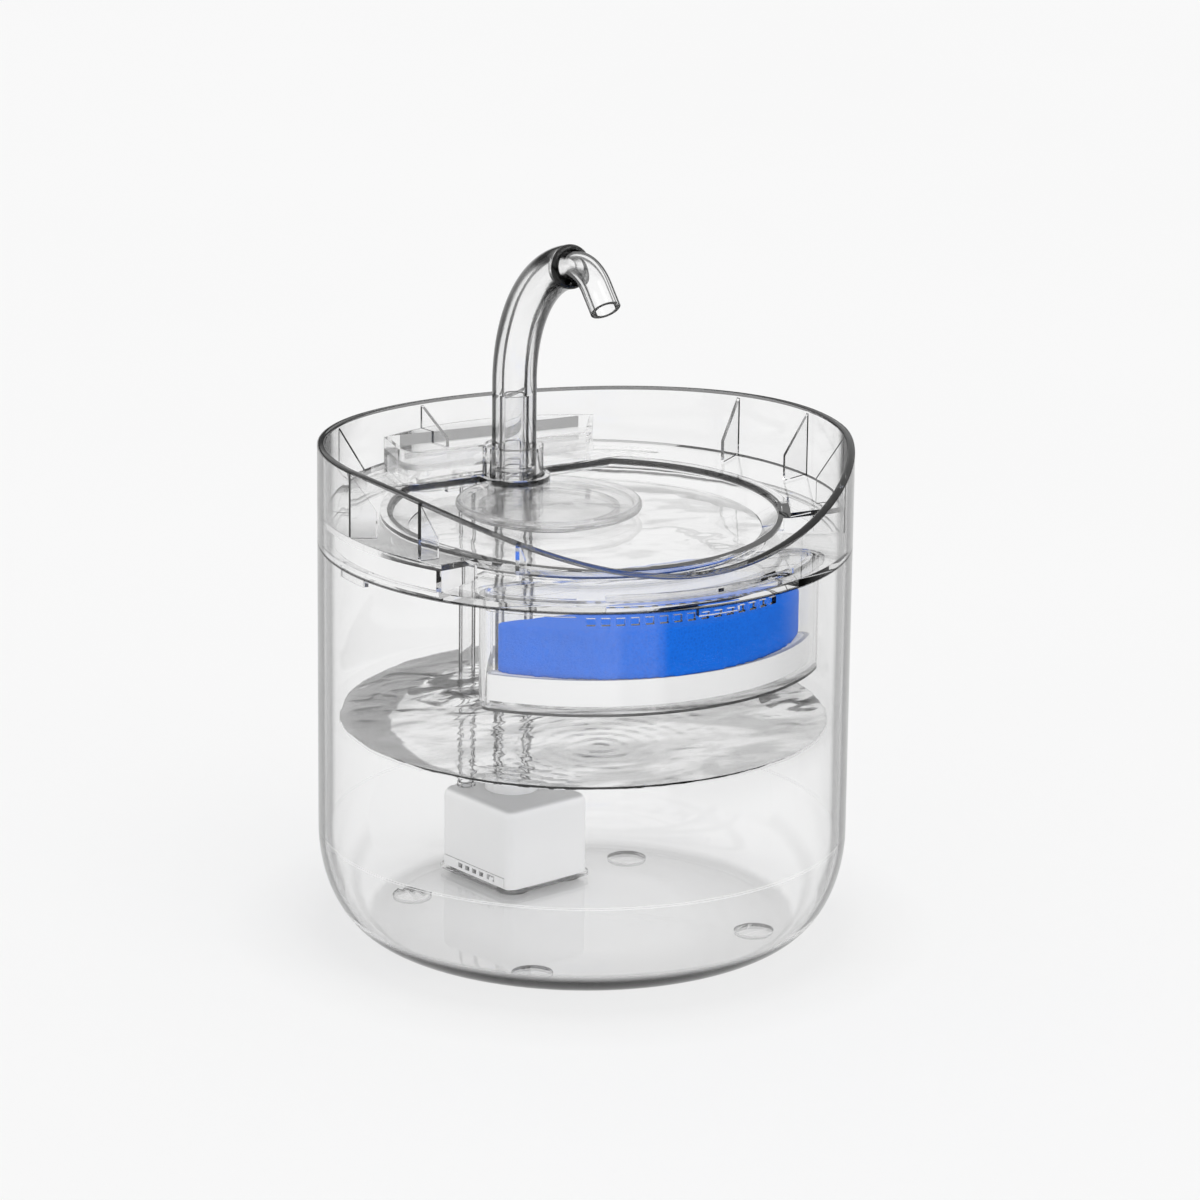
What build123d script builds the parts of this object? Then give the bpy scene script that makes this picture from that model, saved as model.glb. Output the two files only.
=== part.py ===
from build123d import *
import math
import os

# Pet water fountain: a clear round tank with a drinking top, a filter drawer under it and a faucet.
# Millimetres. Z is up, the front (the drinking side) faces -Y, and the origin is on the ground
# under the tank's centre.

# ---- tank
TANK_R = 82.5
TANK_WALL = 2.5
SEAM_Z = 125.4
CORNER_WIDTH = 20.0
CORNER_TOP_Z = 33.2
FLOOR_BOTTOM_Z = 1.0
FLOOR_THICK = 2.2

# ---- tank feet
FOOT_R = 6.25
FOOT_MARGIN = 0.25
FOOT_POCKET = 1.2
FOOT_FIRST_AZ = 45.0
FOOT_COUNT = 4

# ---- clearances
REST_GAP = 0.2
SLIDE_GAP = 0.3
RUNNING_GAP = 0.05
SEAT_GAP = 0.1

# ---- lid: outer wall, rim and deck
LID_WALL = 2.5
RIM_CREST_H = 31.9
RIM_CREST_Y = -15.4
RIM_FRONT_R = 113.0
RIM_BACK_R = 968.0
RIM_TURN = -6.0
RIM_ROUND = 0.9
DECK_H = 8.4
DECK_RISE = 2.2
DECK_THICK = 2.0
DECK_WIDTH = 18.7
LEDGE_WIDTH = 2.2
LEDGE_THICK = 1.6
LUG_DROP = 3.4
LUG_THICK = 1.8
LUG_HALF_AZ = 5.0
LUG_COUNT = 4

# ---- lid: front trough, where the bowl overflows to the filter
TROUGH_HALF_AZ = 62.0
TROUGH_OVERHANG = 6.8
TROUGH_THICK = 1.8
UPSTAND_H = 2.4
DRAIN_MARGIN = 5.5
DRAIN_WIDTH = 5.0
DRAIN_HALF_AZ = 25.0
DRAIN_LIP_THICK = 1.2
DRAIN_LIP_H = 3.6

# ---- lid: gusset ribs inside the wall
RIB_PITCH_AZ = 23.0
RIB_BACK_AZ = 134.0
RIB_REACH = 8.2
RIB_PLATFORM_AZ = 101.0
RIB_PLATFORM_REACH = 12.8
RIB_SHOULDER_DROP = 14.0
RIB_SHOULDER_MIN = 3.6
RIB_THICK = 1.2
RIB_UNDER_RIM = 1.4

# ---- lid: rear platform and faucet socket
PLATFORM_RISE = 6.4
PLATFORM_FENCE_H = 4.0
PLATFORM_THICK = 2.0
PLATFORM_DEPTH = 33.3
PLATFORM_WALL = 1.4
PLATFORM_RIGHT_X = 30.0
PLATFORM_LEFT_X = -36.0
PLATFORM_LEFT_AZ = 113.0
PLATFORM_LEFT_ROUND = 8.0
SOCKET_PROUD = 0.4
SOCKET_R = 9.3
SOCKET_SINK = 0.4
SLEEVE_R = 8.4
SLEEVE_DROP = 7.4
CABLE_NOTCH_AZ = 103.0
CABLE_NOTCH_R = 2.6

# ---- drinking tray
TRAY_DEPTH = 3.8
TRAY_SLOPE = 6.8
TRAY_THICK = 1.8
TRAY_LIP_OVERLAP = 1.9
TRAY_LIP_THICK = 1.2
TRAY_BACK_WALL = 1.6
TRAY_DIP_START_Y = -22.0
TRAY_WEIR_H = 1.4

# ---- splash disc
SPLASH_X = -4.5
SPLASH_Y = 15.0
SPLASH_R = 29.0
SPLASH_PLATE = 1.4
SPLASH_RISE = 2.0
SPLASH_BEAD_R = 1.5
SPLASH_FOOT_R = 22.0

# ---- faucet
FAUCET_SETBACK = 36.9
FAUCET_R = 7.0
FAUCET_TIP_R = 6.9
FAUCET_BORE_R = 4.0
FAUCET_STEM_H = 30.8
FAUCET_BEND_R = 45.5
FAUCET_BEND_DEG = 78.0
FAUCET_SHOULDER = 1.4
SPIGOT_R = 4.5
SPIGOT_BORE_R = 3.0
SPIGOT_H = 27.6
NOZZLE_R = 4.8
NOZZLE_BORE_R = 3.3
NOZZLE_TAIL = 4.5
NOZZLE_LEAD = 2.0
NOZZLE_BEND_R = 14.0
NOZZLE_DROP_DEG = 46.0
NOZZLE_SPOUT = 8.0
SEAL_H = 4.6
SEAL_SECTION_R = 0.75

# ---- filter drawer
BOX_MARGIN = 6.0
BOX_DEPTH = 33.5
BOX_TURN = -4.5
BOX_CORNER_R = 6.0
BOX_WALL = 1.6
BOX_HEIGHT = 34.2
BOX_FLOOR = 1.6
BOX_FLANGE = 1.5
BOX_FLANGE_THICK = 1.6
BOX_GUIDE_DROP = 4.0
BOX_GUIDE_THICK = 1.4
COMB_SLOT_W = 2.6
COMB_SLOT_H = 2.2
COMB_PITCH_AZ = 3.4
COMB_COUNT = 15
COMB_DROP = 3.8
FLOOR_SLOT_L = 10.0
FLOOR_SLOT_W = 2.4
FLOOR_SLOT_PITCH = 5.2
FLOOR_SLOT_COUNT = 19
FLOOR_SLOT_ROWS = 2
FLOOR_SLOT_BACK = 3.5
FLOOR_SLOT_ROW_GAP = 2.5
FLOOR_SLOT_EDGE = 2.0

# ---- filter cartridge
CARTRIDGE_FIT = 1.6
CARTRIDGE_END_GAP = 2.6
CARTRIDGE_CORNER_R = 2.2
FRAME_LIFT = 0.8
FRAME_WALL = 1.2
FRAME_FLOOR = 1.0
COTTON_THICK = 1.7
CARBON_THICK = 3.7
SPONGE_THICK = 15.0

# ---- pump
PUMP_X = -0.6
PUMP_SETBACK = 39.8
PUMP_TURN = 10.0
PUMP_W = 33.2
PUMP_L = 36.0
PUMP_H = 26.1
PUMP_STAND = 2.2
PUMP_WALL = 1.5
PUMP_EDGE_R = 3.0
PUMP_CORNER_R = 3.6
BASE_THICK = 1.1
BASE_MARGIN = 0.8
CUP_R = 5.0
CUP_SIDE = 6.0
CUP_END = 5.8
CUP_NECK_R = 1.8
CUP_RIM = 0.6

# ---- pump: rotor, chamber and motor
ROTOR_SIDE = 11.6
ROTOR_END = 11.8
CHAMBER_R = 8.0
CHAMBER_H = 4.8
VOLUTE_ROOF = 2.0
EYE_R = 5.0
EYE_HUB_R = 2.5
EYE_SPOKES = 3
PLATE_THICK = 1.2
WELL_R = 4.4
WELL_WALL = 0.9
WELL_ROOF = 2.9
DUCT_BORE_R = 3.0
DUCT_WALL = 1.4
IMPELLER_R = 7.2
IMPELLER_DISC = 1.0
BLADE_COUNT = 6
BLADE_THICK = 0.9
BLADE_SWEEP = 35.0
MAGNET_R = 4.0
MAGNET_BORE_R = 2.2
SHAFT_R = 1.0
BUSH_R = 1.8
BUSH_H = 1.0
SEAL_RING_R = 9.2
SEAL_RING_SECTION = 0.5
CORE_THICK = 6.0
CORE_LEG = 3.0
CORE_POLE = 6.8
POLE_GAP = 4.0
COIL_WIND = 2.0
COIL_UNDER = 0.8
COIL_ROUND = 0.7
BOARD_THICK = 1.2
BOARD_L = 16.0
BOARD_H = 9.0
BOARD_SPACE = 1.0
CHIP_W = 2.4
CHIP_H = 3.0
CHIP_PROUD = 0.7
CHIP_PITCH = 5.0

# ---- pump: intake cover and flow shutter
COVER_H = 3.3
COVER_END = 2.8
COVER_WALL = 1.2
INTAKE_SLOT_W = 2.2
INTAKE_SLOT_H = 1.5
INTAKE_SLOT_PITCH = 3.6
INTAKE_SLOT_COUNT = 4
INTAKE_SLOT_SHIFT = 1.8
SHUTTER_THICK = 0.8
SHUTTER_TRAVEL = 1.8
SHUTTER_KNOB_R = 0.8
SHUTTER_KNOB_Y = -9.4
SHUTTER_KNOB_PROUD = 0.7

# ---- riser, collar and cable guide
RISER_R = 6.0
RISER_BORE_R = 4.0
RISER_END_GAP = 1.2
COLLAR_R = 8.8
COLLAR_H = 4.7
COLLAR_SOCKET = 3.1
RISER_SEAL_H = 2.4
RISER_SEAL_THICK = 1.3
GUIDE_X = -12.4
GUIDE_SETBACK = 28.8
GUIDE_R = 2.65
GUIDE_BORE_R = 1.85
GUIDE_END_H = 0.3
GLAND_R = 3.0
GLAND_PLUG_R = 2.3
GLAND_FLANGE = 1.5
GLAND_DEPTH = 3.6
GLAND_BOSS_WALL = 0.6

# ---- worked out from the values above
TANK_IN_R = TANK_R - TANK_WALL
LID_IN_R = TANK_R - LID_WALL
FLOOR_TOP_Z = FLOOR_BOTTOM_Z + FLOOR_THICK
FOOT_CIRCLE_R = TANK_R - CORNER_WIDTH - FOOT_R - FOOT_MARGIN
LID_BOTTOM_Z = SEAM_Z + REST_GAP
RIM_CREST_Z = SEAM_Z + RIM_CREST_H
DECK_TOP_Z = SEAM_Z + DECK_H
DECK_BOTTOM_Z = DECK_TOP_Z - DECK_THICK
DECK_HOLE_R = LID_IN_R - DECK_WIDTH
DECK_WALL_Z = DECK_TOP_Z + DECK_RISE
TROUGH_IN_R = DECK_HOLE_R - TROUGH_OVERHANG
UPSTAND_Z = LID_BOTTOM_Z + UPSTAND_H
DRAIN_R_OUT = LID_IN_R - DRAIN_MARGIN
DRAIN_R_IN = DRAIN_R_OUT - DRAIN_WIDTH
DRAIN_LIP_Z = LID_BOTTOM_Z + DRAIN_LIP_H
TRAY_LIP_R = DECK_HOLE_R + TRAY_LIP_OVERLAP
TRAY_EDGE_R = DECK_HOLE_R - SLIDE_GAP
FAUCET_Y = TANK_R - FAUCET_SETBACK
FAUCET_BEND_Z = DECK_TOP_Z + FAUCET_STEM_H
FAUCET_CUP_R = FAUCET_R + 2 * RUNNING_GAP
PLATFORM_FRONT_Y = TANK_R - PLATFORM_DEPTH
PLATFORM_FLOOR_Z = DECK_TOP_Z + PLATFORM_RISE
BOX_R = TANK_IN_R - BOX_MARGIN
PLATFORM_Z = PLATFORM_FLOOR_Z + PLATFORM_FENCE_H
SOCKET_TOP_Z = PLATFORM_Z + SOCKET_PROUD
SOCKET_FLOOR_Z = DECK_TOP_Z - SOCKET_SINK
SLEEVE_BOTTOM_Z = SEAM_Z - SLEEVE_DROP
SPIGOT_TOP_Z = SOCKET_FLOOR_Z + SPIGOT_H
SEAL_Z = SOCKET_FLOOR_Z + SEAL_H
TRAY_FLOOR_Z = DECK_TOP_Z - TRAY_DEPTH
TRAY_WEIR_Z = TRAY_FLOOR_Z + TRAY_WEIR_H
TRAY_FLOOR_R = DECK_HOLE_R - TRAY_SLOPE
BOX_CHORD_Y = BOX_DEPTH - BOX_R
BOX_TOP_Z = LID_BOTTOM_Z - REST_GAP
BOX_BOTTOM_Z = BOX_TOP_Z - BOX_HEIGHT
COMB_TOP_Z = SEAM_Z - COMB_DROP
FRAME_Z = BOX_BOTTOM_Z + BOX_FLOOR + FRAME_LIFT
PUMP_BOTTOM_Z = FLOOR_TOP_Z + PUMP_STAND
PUMP_TOP_Z = PUMP_BOTTOM_Z + PUMP_H
WELL_TOP_Z = PUMP_TOP_Z - WELL_ROOF
PUMP_Y = TANK_R - PUMP_SETBACK
CUP_X = PUMP_W / 2 - CUP_SIDE
CUP_Y = PUMP_L / 2 - CUP_END
ROTOR_X = ROTOR_SIDE - PUMP_W / 2
ROTOR_Y = ROTOR_END - PUMP_L / 2
COVER_SIDE = PUMP_L / 2 - COVER_END
GUIDE_Y = TANK_R - GUIDE_SETBACK
GUIDE_TOP_Z = DECK_TOP_Z + GUIDE_END_H
RISER_TOP_Z = DECK_BOTTOM_Z - RISER_END_GAP
QUARTER = 90.0
FRONT_AZ = -QUARTER
BURY = 0.5
BIG = 3 * TANK_R


def ring(r_out, r_in, z_low, z_high):
    """A flat or tall ring about the Z axis."""
    body = Cylinder(r_out, z_high - z_low, align=(Align.CENTER, Align.CENTER, Align.MIN))
    hole = Cylinder(r_in, z_high - z_low, align=(Align.CENTER, Align.CENTER, Align.MIN))
    return Pos(0, 0, z_low) * (body - hole)


def rod(r, z_low, z_high, x=0.0, y=0.0):
    """A round rod standing between two heights."""
    return Pos(x, y, z_low) * Cylinder(r, z_high - z_low, align=(Align.CENTER, Align.CENTER, Align.MIN))


def block(x_low, x_high, y_low, y_high, z_low, z_high):
    """A box between two corners."""
    box = Box(x_high - x_low, y_high - y_low, z_high - z_low, align=(Align.MIN, Align.MIN, Align.MIN))
    return Pos(x_low, y_low, z_low) * box


def revolved(*lines):
    """A solid turned about Z from lines drawn in the radius and height plane."""
    return revolve(Plane.XZ * make_face(Curve() + list(lines)), Axis.Z)


def prism(face, z_low, z_high):
    """A flat face raised between two heights."""
    return extrude(Pos(0, 0, z_low) * face, z_high - z_low)


def sector(az_mid, az_half, r, z_low, z_high):
    """A wedge about Z, wide enough to cut a ring with."""
    start, end = az_mid - az_half, az_mid + az_half
    arc = CenterArc((0, 0), r, start, end - start)
    lines = Curve() + [Line((0, 0), arc @ 0), arc, Line(arc @ 1, (0, 0))]
    return prism(make_face(lines), z_low, z_high)


def at_az(az, r=0.0):
    """A place on a circle about Z, turned to face outwards."""
    return Rot(0, 0, az) * Pos(r, 0, 0)


# ---------------------------------------------------------------- tank
def make_tank():
    corner_x = TANK_R - CORNER_WIDTH
    outer_h = CORNER_TOP_Z - FLOOR_BOTTOM_Z
    inner_h = CORNER_TOP_Z - FLOOR_TOP_Z
    centre = (corner_x, CORNER_TOP_Z)
    down = 3 * QUARTER
    outer = EllipticalCenterArc(centre, CORNER_WIDTH, outer_h, down, arc_size=QUARTER)
    inner = EllipticalCenterArc(centre, CORNER_WIDTH - TANK_WALL, inner_h, down, arc_size=QUARTER)
    shell = revolved(
        Line((0, FLOOR_BOTTOM_Z), outer @ 0),
        outer,
        Line(outer @ 1, (TANK_R, SEAM_Z)),
        Line((TANK_R, SEAM_Z), (TANK_IN_R, SEAM_Z)),
        Line((TANK_IN_R, SEAM_Z), inner @ 1),
        inner,
        Line(inner @ 0, (0, FLOOR_TOP_Z)),
        Line((0, FLOOR_TOP_Z), (0, FLOOR_BOTTOM_Z)),
    )
    for place in foot_places():
        shell -= place * rod(FOOT_R + SEAT_GAP, FLOOR_BOTTOM_Z - BURY, FLOOR_BOTTOM_Z + FOOT_POCKET)
    return shell


def foot_places():
    step = 360 / FOOT_COUNT
    return [at_az(FOOT_FIRST_AZ + step * i, FOOT_CIRCLE_R) for i in range(FOOT_COUNT)]


def make_feet():
    foot = rod(FOOT_R, 0, FLOOR_BOTTOM_Z + FOOT_POCKET)
    foot = fillet(foot.edges().group_by(Axis.Z)[0], FLOOR_BOTTOM_Z * 0.6)
    return Compound([place * foot for place in foot_places()])


# ---------------------------------------------------------------- lid
def above_rim():
    """Everything above the rim, which falls gently from its crest to the back and steeply to the front."""
    front_deg = math.degrees(math.asin((TANK_R + BURY + RIM_CREST_Y) / RIM_FRONT_R))
    back_deg = math.degrees(math.asin((TANK_R + BURY - RIM_CREST_Y) / RIM_BACK_R))
    front = CenterArc((RIM_CREST_Y, RIM_CREST_Z - RIM_FRONT_R), RIM_FRONT_R, QUARTER, front_deg)
    back = CenterArc((RIM_CREST_Y, RIM_CREST_Z - RIM_BACK_R), RIM_BACK_R, QUARTER - back_deg, back_deg)
    high, low = back @ 0, front @ 1
    over = Polyline(low, (-BIG, low.Y), (-BIG, BIG), (BIG, BIG), (BIG, high.Y), high)
    face = make_face(Curve() + [back, front, over])
    return Rot(0, 0, RIM_TURN) * extrude(Plane.YZ * face, BIG, both=True)


def rim_height(az):
    """The rim's height at the lid's inner wall."""
    y = LID_IN_R * math.sin(math.radians(az - RIM_TURN))
    arc_r = RIM_FRONT_R if y < RIM_CREST_Y else RIM_BACK_R
    return RIM_CREST_Z - arc_r + math.sqrt(arc_r**2 - (y - RIM_CREST_Y) ** 2)


def make_rib(az, reach, foot_z):
    """A gusset: an upright nose on its foot, and a slope from there up to just under the rim."""
    nose_r = LID_IN_R - reach
    wall_r = LID_IN_R + BURY
    nose_z = max(rim_height(az) - RIB_SHOULDER_DROP, foot_z + RIB_SHOULDER_MIN)
    top = rim_height(az) - RIB_UNDER_RIM
    nose = [(nose_r, foot_z), (nose_r, nose_z)]
    wall = [(LID_IN_R, top), (wall_r, top), (wall_r, foot_z)]
    face = make_face(Polyline(*nose, *wall, close=True))
    return Rot(0, 0, az) * extrude(Plane.XZ * face, RIB_THICK / 2, both=True)


def make_ribs():
    side = [RIB_PITCH_AZ * k for k in (-2, -1, 0, 1)]
    on_deck = side + [180 - az for az in side] + [RIB_BACK_AZ]
    ribs = [make_rib(az, RIB_REACH, DECK_TOP_Z + BURY) for az in on_deck]
    ribs.append(make_rib(RIB_PLATFORM_AZ, RIB_PLATFORM_REACH, PLATFORM_FLOOR_Z - BURY))
    return ribs


def platform_face(inset=0.0):
    """The platform's outline: a chord in front, two radial ends and the lid's round wall."""
    front = PLATFORM_FRONT_Y + inset
    right_az = math.degrees(math.atan2(PLATFORM_FRONT_Y, PLATFORM_RIGHT_X))
    reach = LID_IN_R + BURY
    right = Vector(reach, 0).rotate(Axis.Z, right_az)
    left = Vector(reach, 0).rotate(Axis.Z, PLATFORM_LEFT_AZ)
    wall = CenterArc((0, 0), reach, right_az, PLATFORM_LEFT_AZ - right_az)
    lines = Curve() + [
        Line((PLATFORM_LEFT_X + inset, front), (PLATFORM_RIGHT_X - inset, front)),
        Line((PLATFORM_RIGHT_X - inset, front), (right.X - inset, right.Y)),
        wall if inset == 0 else Line((right.X - inset, right.Y), (left.X + inset, left.Y)),
        Line((left.X + (inset if inset else 0), left.Y), (PLATFORM_LEFT_X + inset, front)),
    ]
    face = make_face(lines)
    corner = face.vertices().sort_by(Axis.Y)[:2].sort_by(Axis.X)[0]
    return fillet(corner, PLATFORM_LEFT_ROUND - inset)


def make_platform():
    """A raised floor behind the faucet with a low fence round it, open underneath for the cable."""
    cap = prism(platform_face(), DECK_BOTTOM_Z, PLATFORM_Z)
    inside = platform_face(PLATFORM_WALL)
    hollow = prism(inside, DECK_BOTTOM_Z - BURY, PLATFORM_FLOOR_Z - PLATFORM_THICK)
    above = prism(inside, PLATFORM_FLOOR_Z, PLATFORM_Z + BURY)
    return cap - ((hollow + above) & rod(LID_IN_R, DECK_BOTTOM_Z - 1, PLATFORM_Z + 1))


def make_socket():
    """The block that holds the faucet, with the sleeve for the riser under it."""
    back_y = PLATFORM_FRONT_Y + PLATFORM_WALL
    outside = rod(SOCKET_R, DECK_BOTTOM_Z, SOCKET_TOP_Z, 0, FAUCET_Y)
    outside += block(-SOCKET_R, SOCKET_R, FAUCET_Y, back_y, DECK_BOTTOM_Z, PLATFORM_Z)
    return outside + rod(SLEEVE_R, SLEEVE_BOTTOM_Z, DECK_BOTTOM_Z, 0, FAUCET_Y)


def socket_bores():
    """The faucet's cup from above, and the riser's bore and seal seat from below."""
    cup = rod(FAUCET_CUP_R, SOCKET_FLOOR_Z, SOCKET_TOP_Z + 1, 0, FAUCET_Y)
    bore = rod(RISER_R + SLIDE_GAP, SLEEVE_BOTTOM_Z - 1, DECK_BOTTOM_Z, 0, FAUCET_Y)
    seat_top = SLEEVE_BOTTOM_Z + RISER_SEAL_H
    seat = rod(RISER_R + RISER_SEAL_THICK, SLEEVE_BOTTOM_Z - 1, seat_top, 0, FAUCET_Y)
    return cup + bore + seat


def make_spigot():
    """The thin pipe that stands in the cup and carries the water up into the faucet."""
    return rod(SPIGOT_R, SOCKET_FLOOR_Z, SPIGOT_TOP_Z, 0, FAUCET_Y)


def deck_cone(thick):
    """The deck, level where the tray rests on it and rising from there to the wall."""
    wall_r = LID_IN_R + BURY
    return revolved(
        Polyline(
            (DECK_HOLE_R, DECK_TOP_Z - thick),
            (DECK_HOLE_R, DECK_TOP_Z),
            (TRAY_LIP_R + REST_GAP, DECK_TOP_Z),
            (LID_IN_R, DECK_WALL_Z),
            (wall_r, DECK_WALL_Z),
            (wall_r, DECK_WALL_Z - thick),
            (TRAY_LIP_R, DECK_TOP_Z - thick),
            close=True,
        )
    )


def make_trough():
    """The lowered front of the deck, with the arc-shaped drain and its raised lip."""
    wedge = sector(FRONT_AZ, TROUGH_HALF_AZ, LID_IN_R + 1, LID_BOTTOM_Z, UPSTAND_Z)
    reach = LID_IN_R + BURY
    floor = ring(reach, TROUGH_IN_R, LID_BOTTOM_Z, LID_BOTTOM_Z + TROUGH_THICK)
    upstand = ring(TROUGH_IN_R + TROUGH_THICK, TROUGH_IN_R, LID_BOTTOM_Z, UPSTAND_Z)
    trough = (floor + upstand) & wedge
    under_deck = deck_cone(DECK_WALL_Z - LID_BOTTOM_Z) + ring(
        DECK_HOLE_R + BURY, TROUGH_IN_R, LID_BOTTOM_Z, UPSTAND_Z
    )
    for side in (-1, 1):
        wall = block(TROUGH_IN_R - 1, reach, -TROUGH_THICK / 2, TROUGH_THICK / 2, LID_BOTTOM_Z, DECK_WALL_Z)
        trough += (at_az(FRONT_AZ + side * TROUGH_HALF_AZ) * wall) & under_deck
    lip_r = DRAIN_R_OUT + DRAIN_LIP_THICK
    lip_wedge = sector(FRONT_AZ, DRAIN_HALF_AZ, BIG, LID_BOTTOM_Z - 1, DRAIN_LIP_Z)
    trough += ring(lip_r, DRAIN_R_OUT, LID_BOTTOM_Z, DRAIN_LIP_Z) & lip_wedge
    return trough - (ring(DRAIN_R_OUT, DRAIN_R_IN, LID_BOTTOM_Z - 1, DRAIN_LIP_Z) & lip_wedge)


def make_lid_shell():
    wall = ring(TANK_R, LID_IN_R, LID_BOTTOM_Z, RIM_CREST_Z + 1) - above_rim()
    rim_edges = wall.edges().filter_by(lambda e: e.center().Z > (LID_BOTTOM_Z + RIM_CREST_Z) / 2)
    rim_edges = rim_edges.filter_by(lambda e: e.geom_type != GeomType.LINE)
    wall = fillet(rim_edges, RIM_ROUND)
    deck = deck_cone(DECK_THICK)
    deck -= sector(FRONT_AZ, TROUGH_HALF_AZ, BIG, DECK_BOTTOM_Z - 1, DECK_WALL_Z + 1)
    deck -= prism(platform_face(PLATFORM_WALL), DECK_BOTTOM_Z - 1, DECK_WALL_Z + 1) & rod(
        LID_IN_R, DECK_BOTTOM_Z - 1, DECK_WALL_Z + 1
    )
    ledge_r = LID_IN_R - LEDGE_WIDTH
    ledge = ring(LID_IN_R + BURY, ledge_r, LID_BOTTOM_Z, LID_BOTTOM_Z + LEDGE_THICK)
    lug_out = TANK_IN_R - SLIDE_GAP
    lugs = ring(lug_out, lug_out - LUG_THICK, LID_BOTTOM_Z - LUG_DROP, LID_BOTTOM_Z + LEDGE_THICK)
    step = 360 / LUG_COUNT
    cutters = [
        sector(step * i, LUG_HALF_AZ, BIG, LID_BOTTOM_Z - LUG_DROP, LID_BOTTOM_Z + LEDGE_THICK)
        for i in range(LUG_COUNT)
    ]
    lid = wall + deck + ledge + make_trough() + make_platform() + make_socket() + make_box_guide()
    lid = lid - socket_bores() + make_spigot()
    lid -= rod(SPIGOT_BORE_R, DECK_BOTTOM_Z - 1, SPIGOT_TOP_Z + 1, 0, FAUCET_Y)
    for cutter in cutters:
        lid += lugs & cutter
    for rib in make_ribs():
        lid += rib
    notch = Rot(0, 0, CABLE_NOTCH_AZ) * Pos(TANK_R, 0, LID_BOTTOM_Z)
    notch_cut = Rot(0, 90, 0) * Cylinder(CABLE_NOTCH_R, 3 * LID_WALL + 2 * LEDGE_WIDTH)
    return lid - notch * notch_cut


# ---------------------------------------------------------------- drinking tray
def tray_plan(inset=0.0):
    """The tray's outline seen from above: a disc cut by the platform, with a bay for the socket."""
    half_x = SOCKET_R + REST_GAP + SLIDE_GAP + inset
    chord_y = PLATFORM_FRONT_Y - REST_GAP - SLIDE_GAP - inset
    plan = Circle(TRAY_LIP_R + 1)
    plan -= Pos(0, chord_y + TANK_R) * Rectangle(BIG, 2 * TANK_R)
    plan -= Pos(0, FAUCET_Y) * Circle(half_x)
    return plan - Pos(0, FAUCET_Y + half_x) * Rectangle(2 * half_x, 2 * half_x)


def make_tray():
    lip_top = DECK_TOP_Z + REST_GAP + TRAY_LIP_THICK
    lip_bottom = DECK_TOP_Z + REST_GAP
    edge_in = TRAY_EDGE_R - TRAY_THICK
    bottom = TRAY_FLOOR_Z - TRAY_THICK
    outside = revolved(
        Polyline(
            (0, bottom),
            (TRAY_FLOOR_R, bottom),
            (TRAY_EDGE_R - TRAY_THICK / 4, lip_bottom - TRAY_THICK),
            (TRAY_EDGE_R, lip_bottom),
            (TRAY_LIP_R, lip_bottom),
            (TRAY_LIP_R, lip_top),
            (0, lip_top),
            close=True,
        )
    )
    hollow = revolved(
        Polyline(
            (0, TRAY_FLOOR_Z),
            (TRAY_FLOOR_R, TRAY_FLOOR_Z),
            (edge_in, lip_bottom - TRAY_THICK / 3),
            (edge_in + TRAY_THICK / 2, lip_top + 1),
            (0, lip_top + 1),
            close=True,
        )
    )
    tray = outside & prism(tray_plan(), bottom, lip_top)
    tray -= hollow & prism(tray_plan(TRAY_BACK_WALL), bottom, lip_top + 1)
    dip = make_face(
        Polyline(
            (TRAY_DIP_START_Y, lip_top),
            (-TRAY_LIP_R, TRAY_WEIR_Z),
            (-BIG, TRAY_WEIR_Z),
            (-BIG, lip_top + 1),
            (TRAY_DIP_START_Y, lip_top + 1),
            close=True,
        )
    )
    return tray - extrude(Plane.YZ * dip, BIG, both=True)


def make_splash_disc():
    """A shallow dish under the faucet, with a round bead for its rim and a foot ring."""
    plate_z = TRAY_FLOOR_Z + SPLASH_RISE
    bead_x = SPLASH_R - SPLASH_BEAD_R
    dish = rod(bead_x, plate_z, plate_z + SPLASH_PLATE)
    dish += Pos(0, 0, plate_z + SPLASH_BEAD_R) * Torus(bead_x, SPLASH_BEAD_R)
    dish += ring(SPLASH_FOOT_R, SPLASH_FOOT_R - SPLASH_PLATE, TRAY_FLOOR_Z, plate_z)
    dish = Pos(SPLASH_X, SPLASH_Y, 0) * dish
    return dish & prism(tray_plan(TRAY_BACK_WALL + SEAT_GAP), TRAY_FLOOR_Z, PLATFORM_Z)


# ---------------------------------------------------------------- faucet
def faucet_path():
    bend = CenterArc((FAUCET_Y - FAUCET_BEND_R, FAUCET_BEND_Z), FAUCET_BEND_R, 0, FAUCET_BEND_DEG)
    return Plane.YZ * bend


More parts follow.
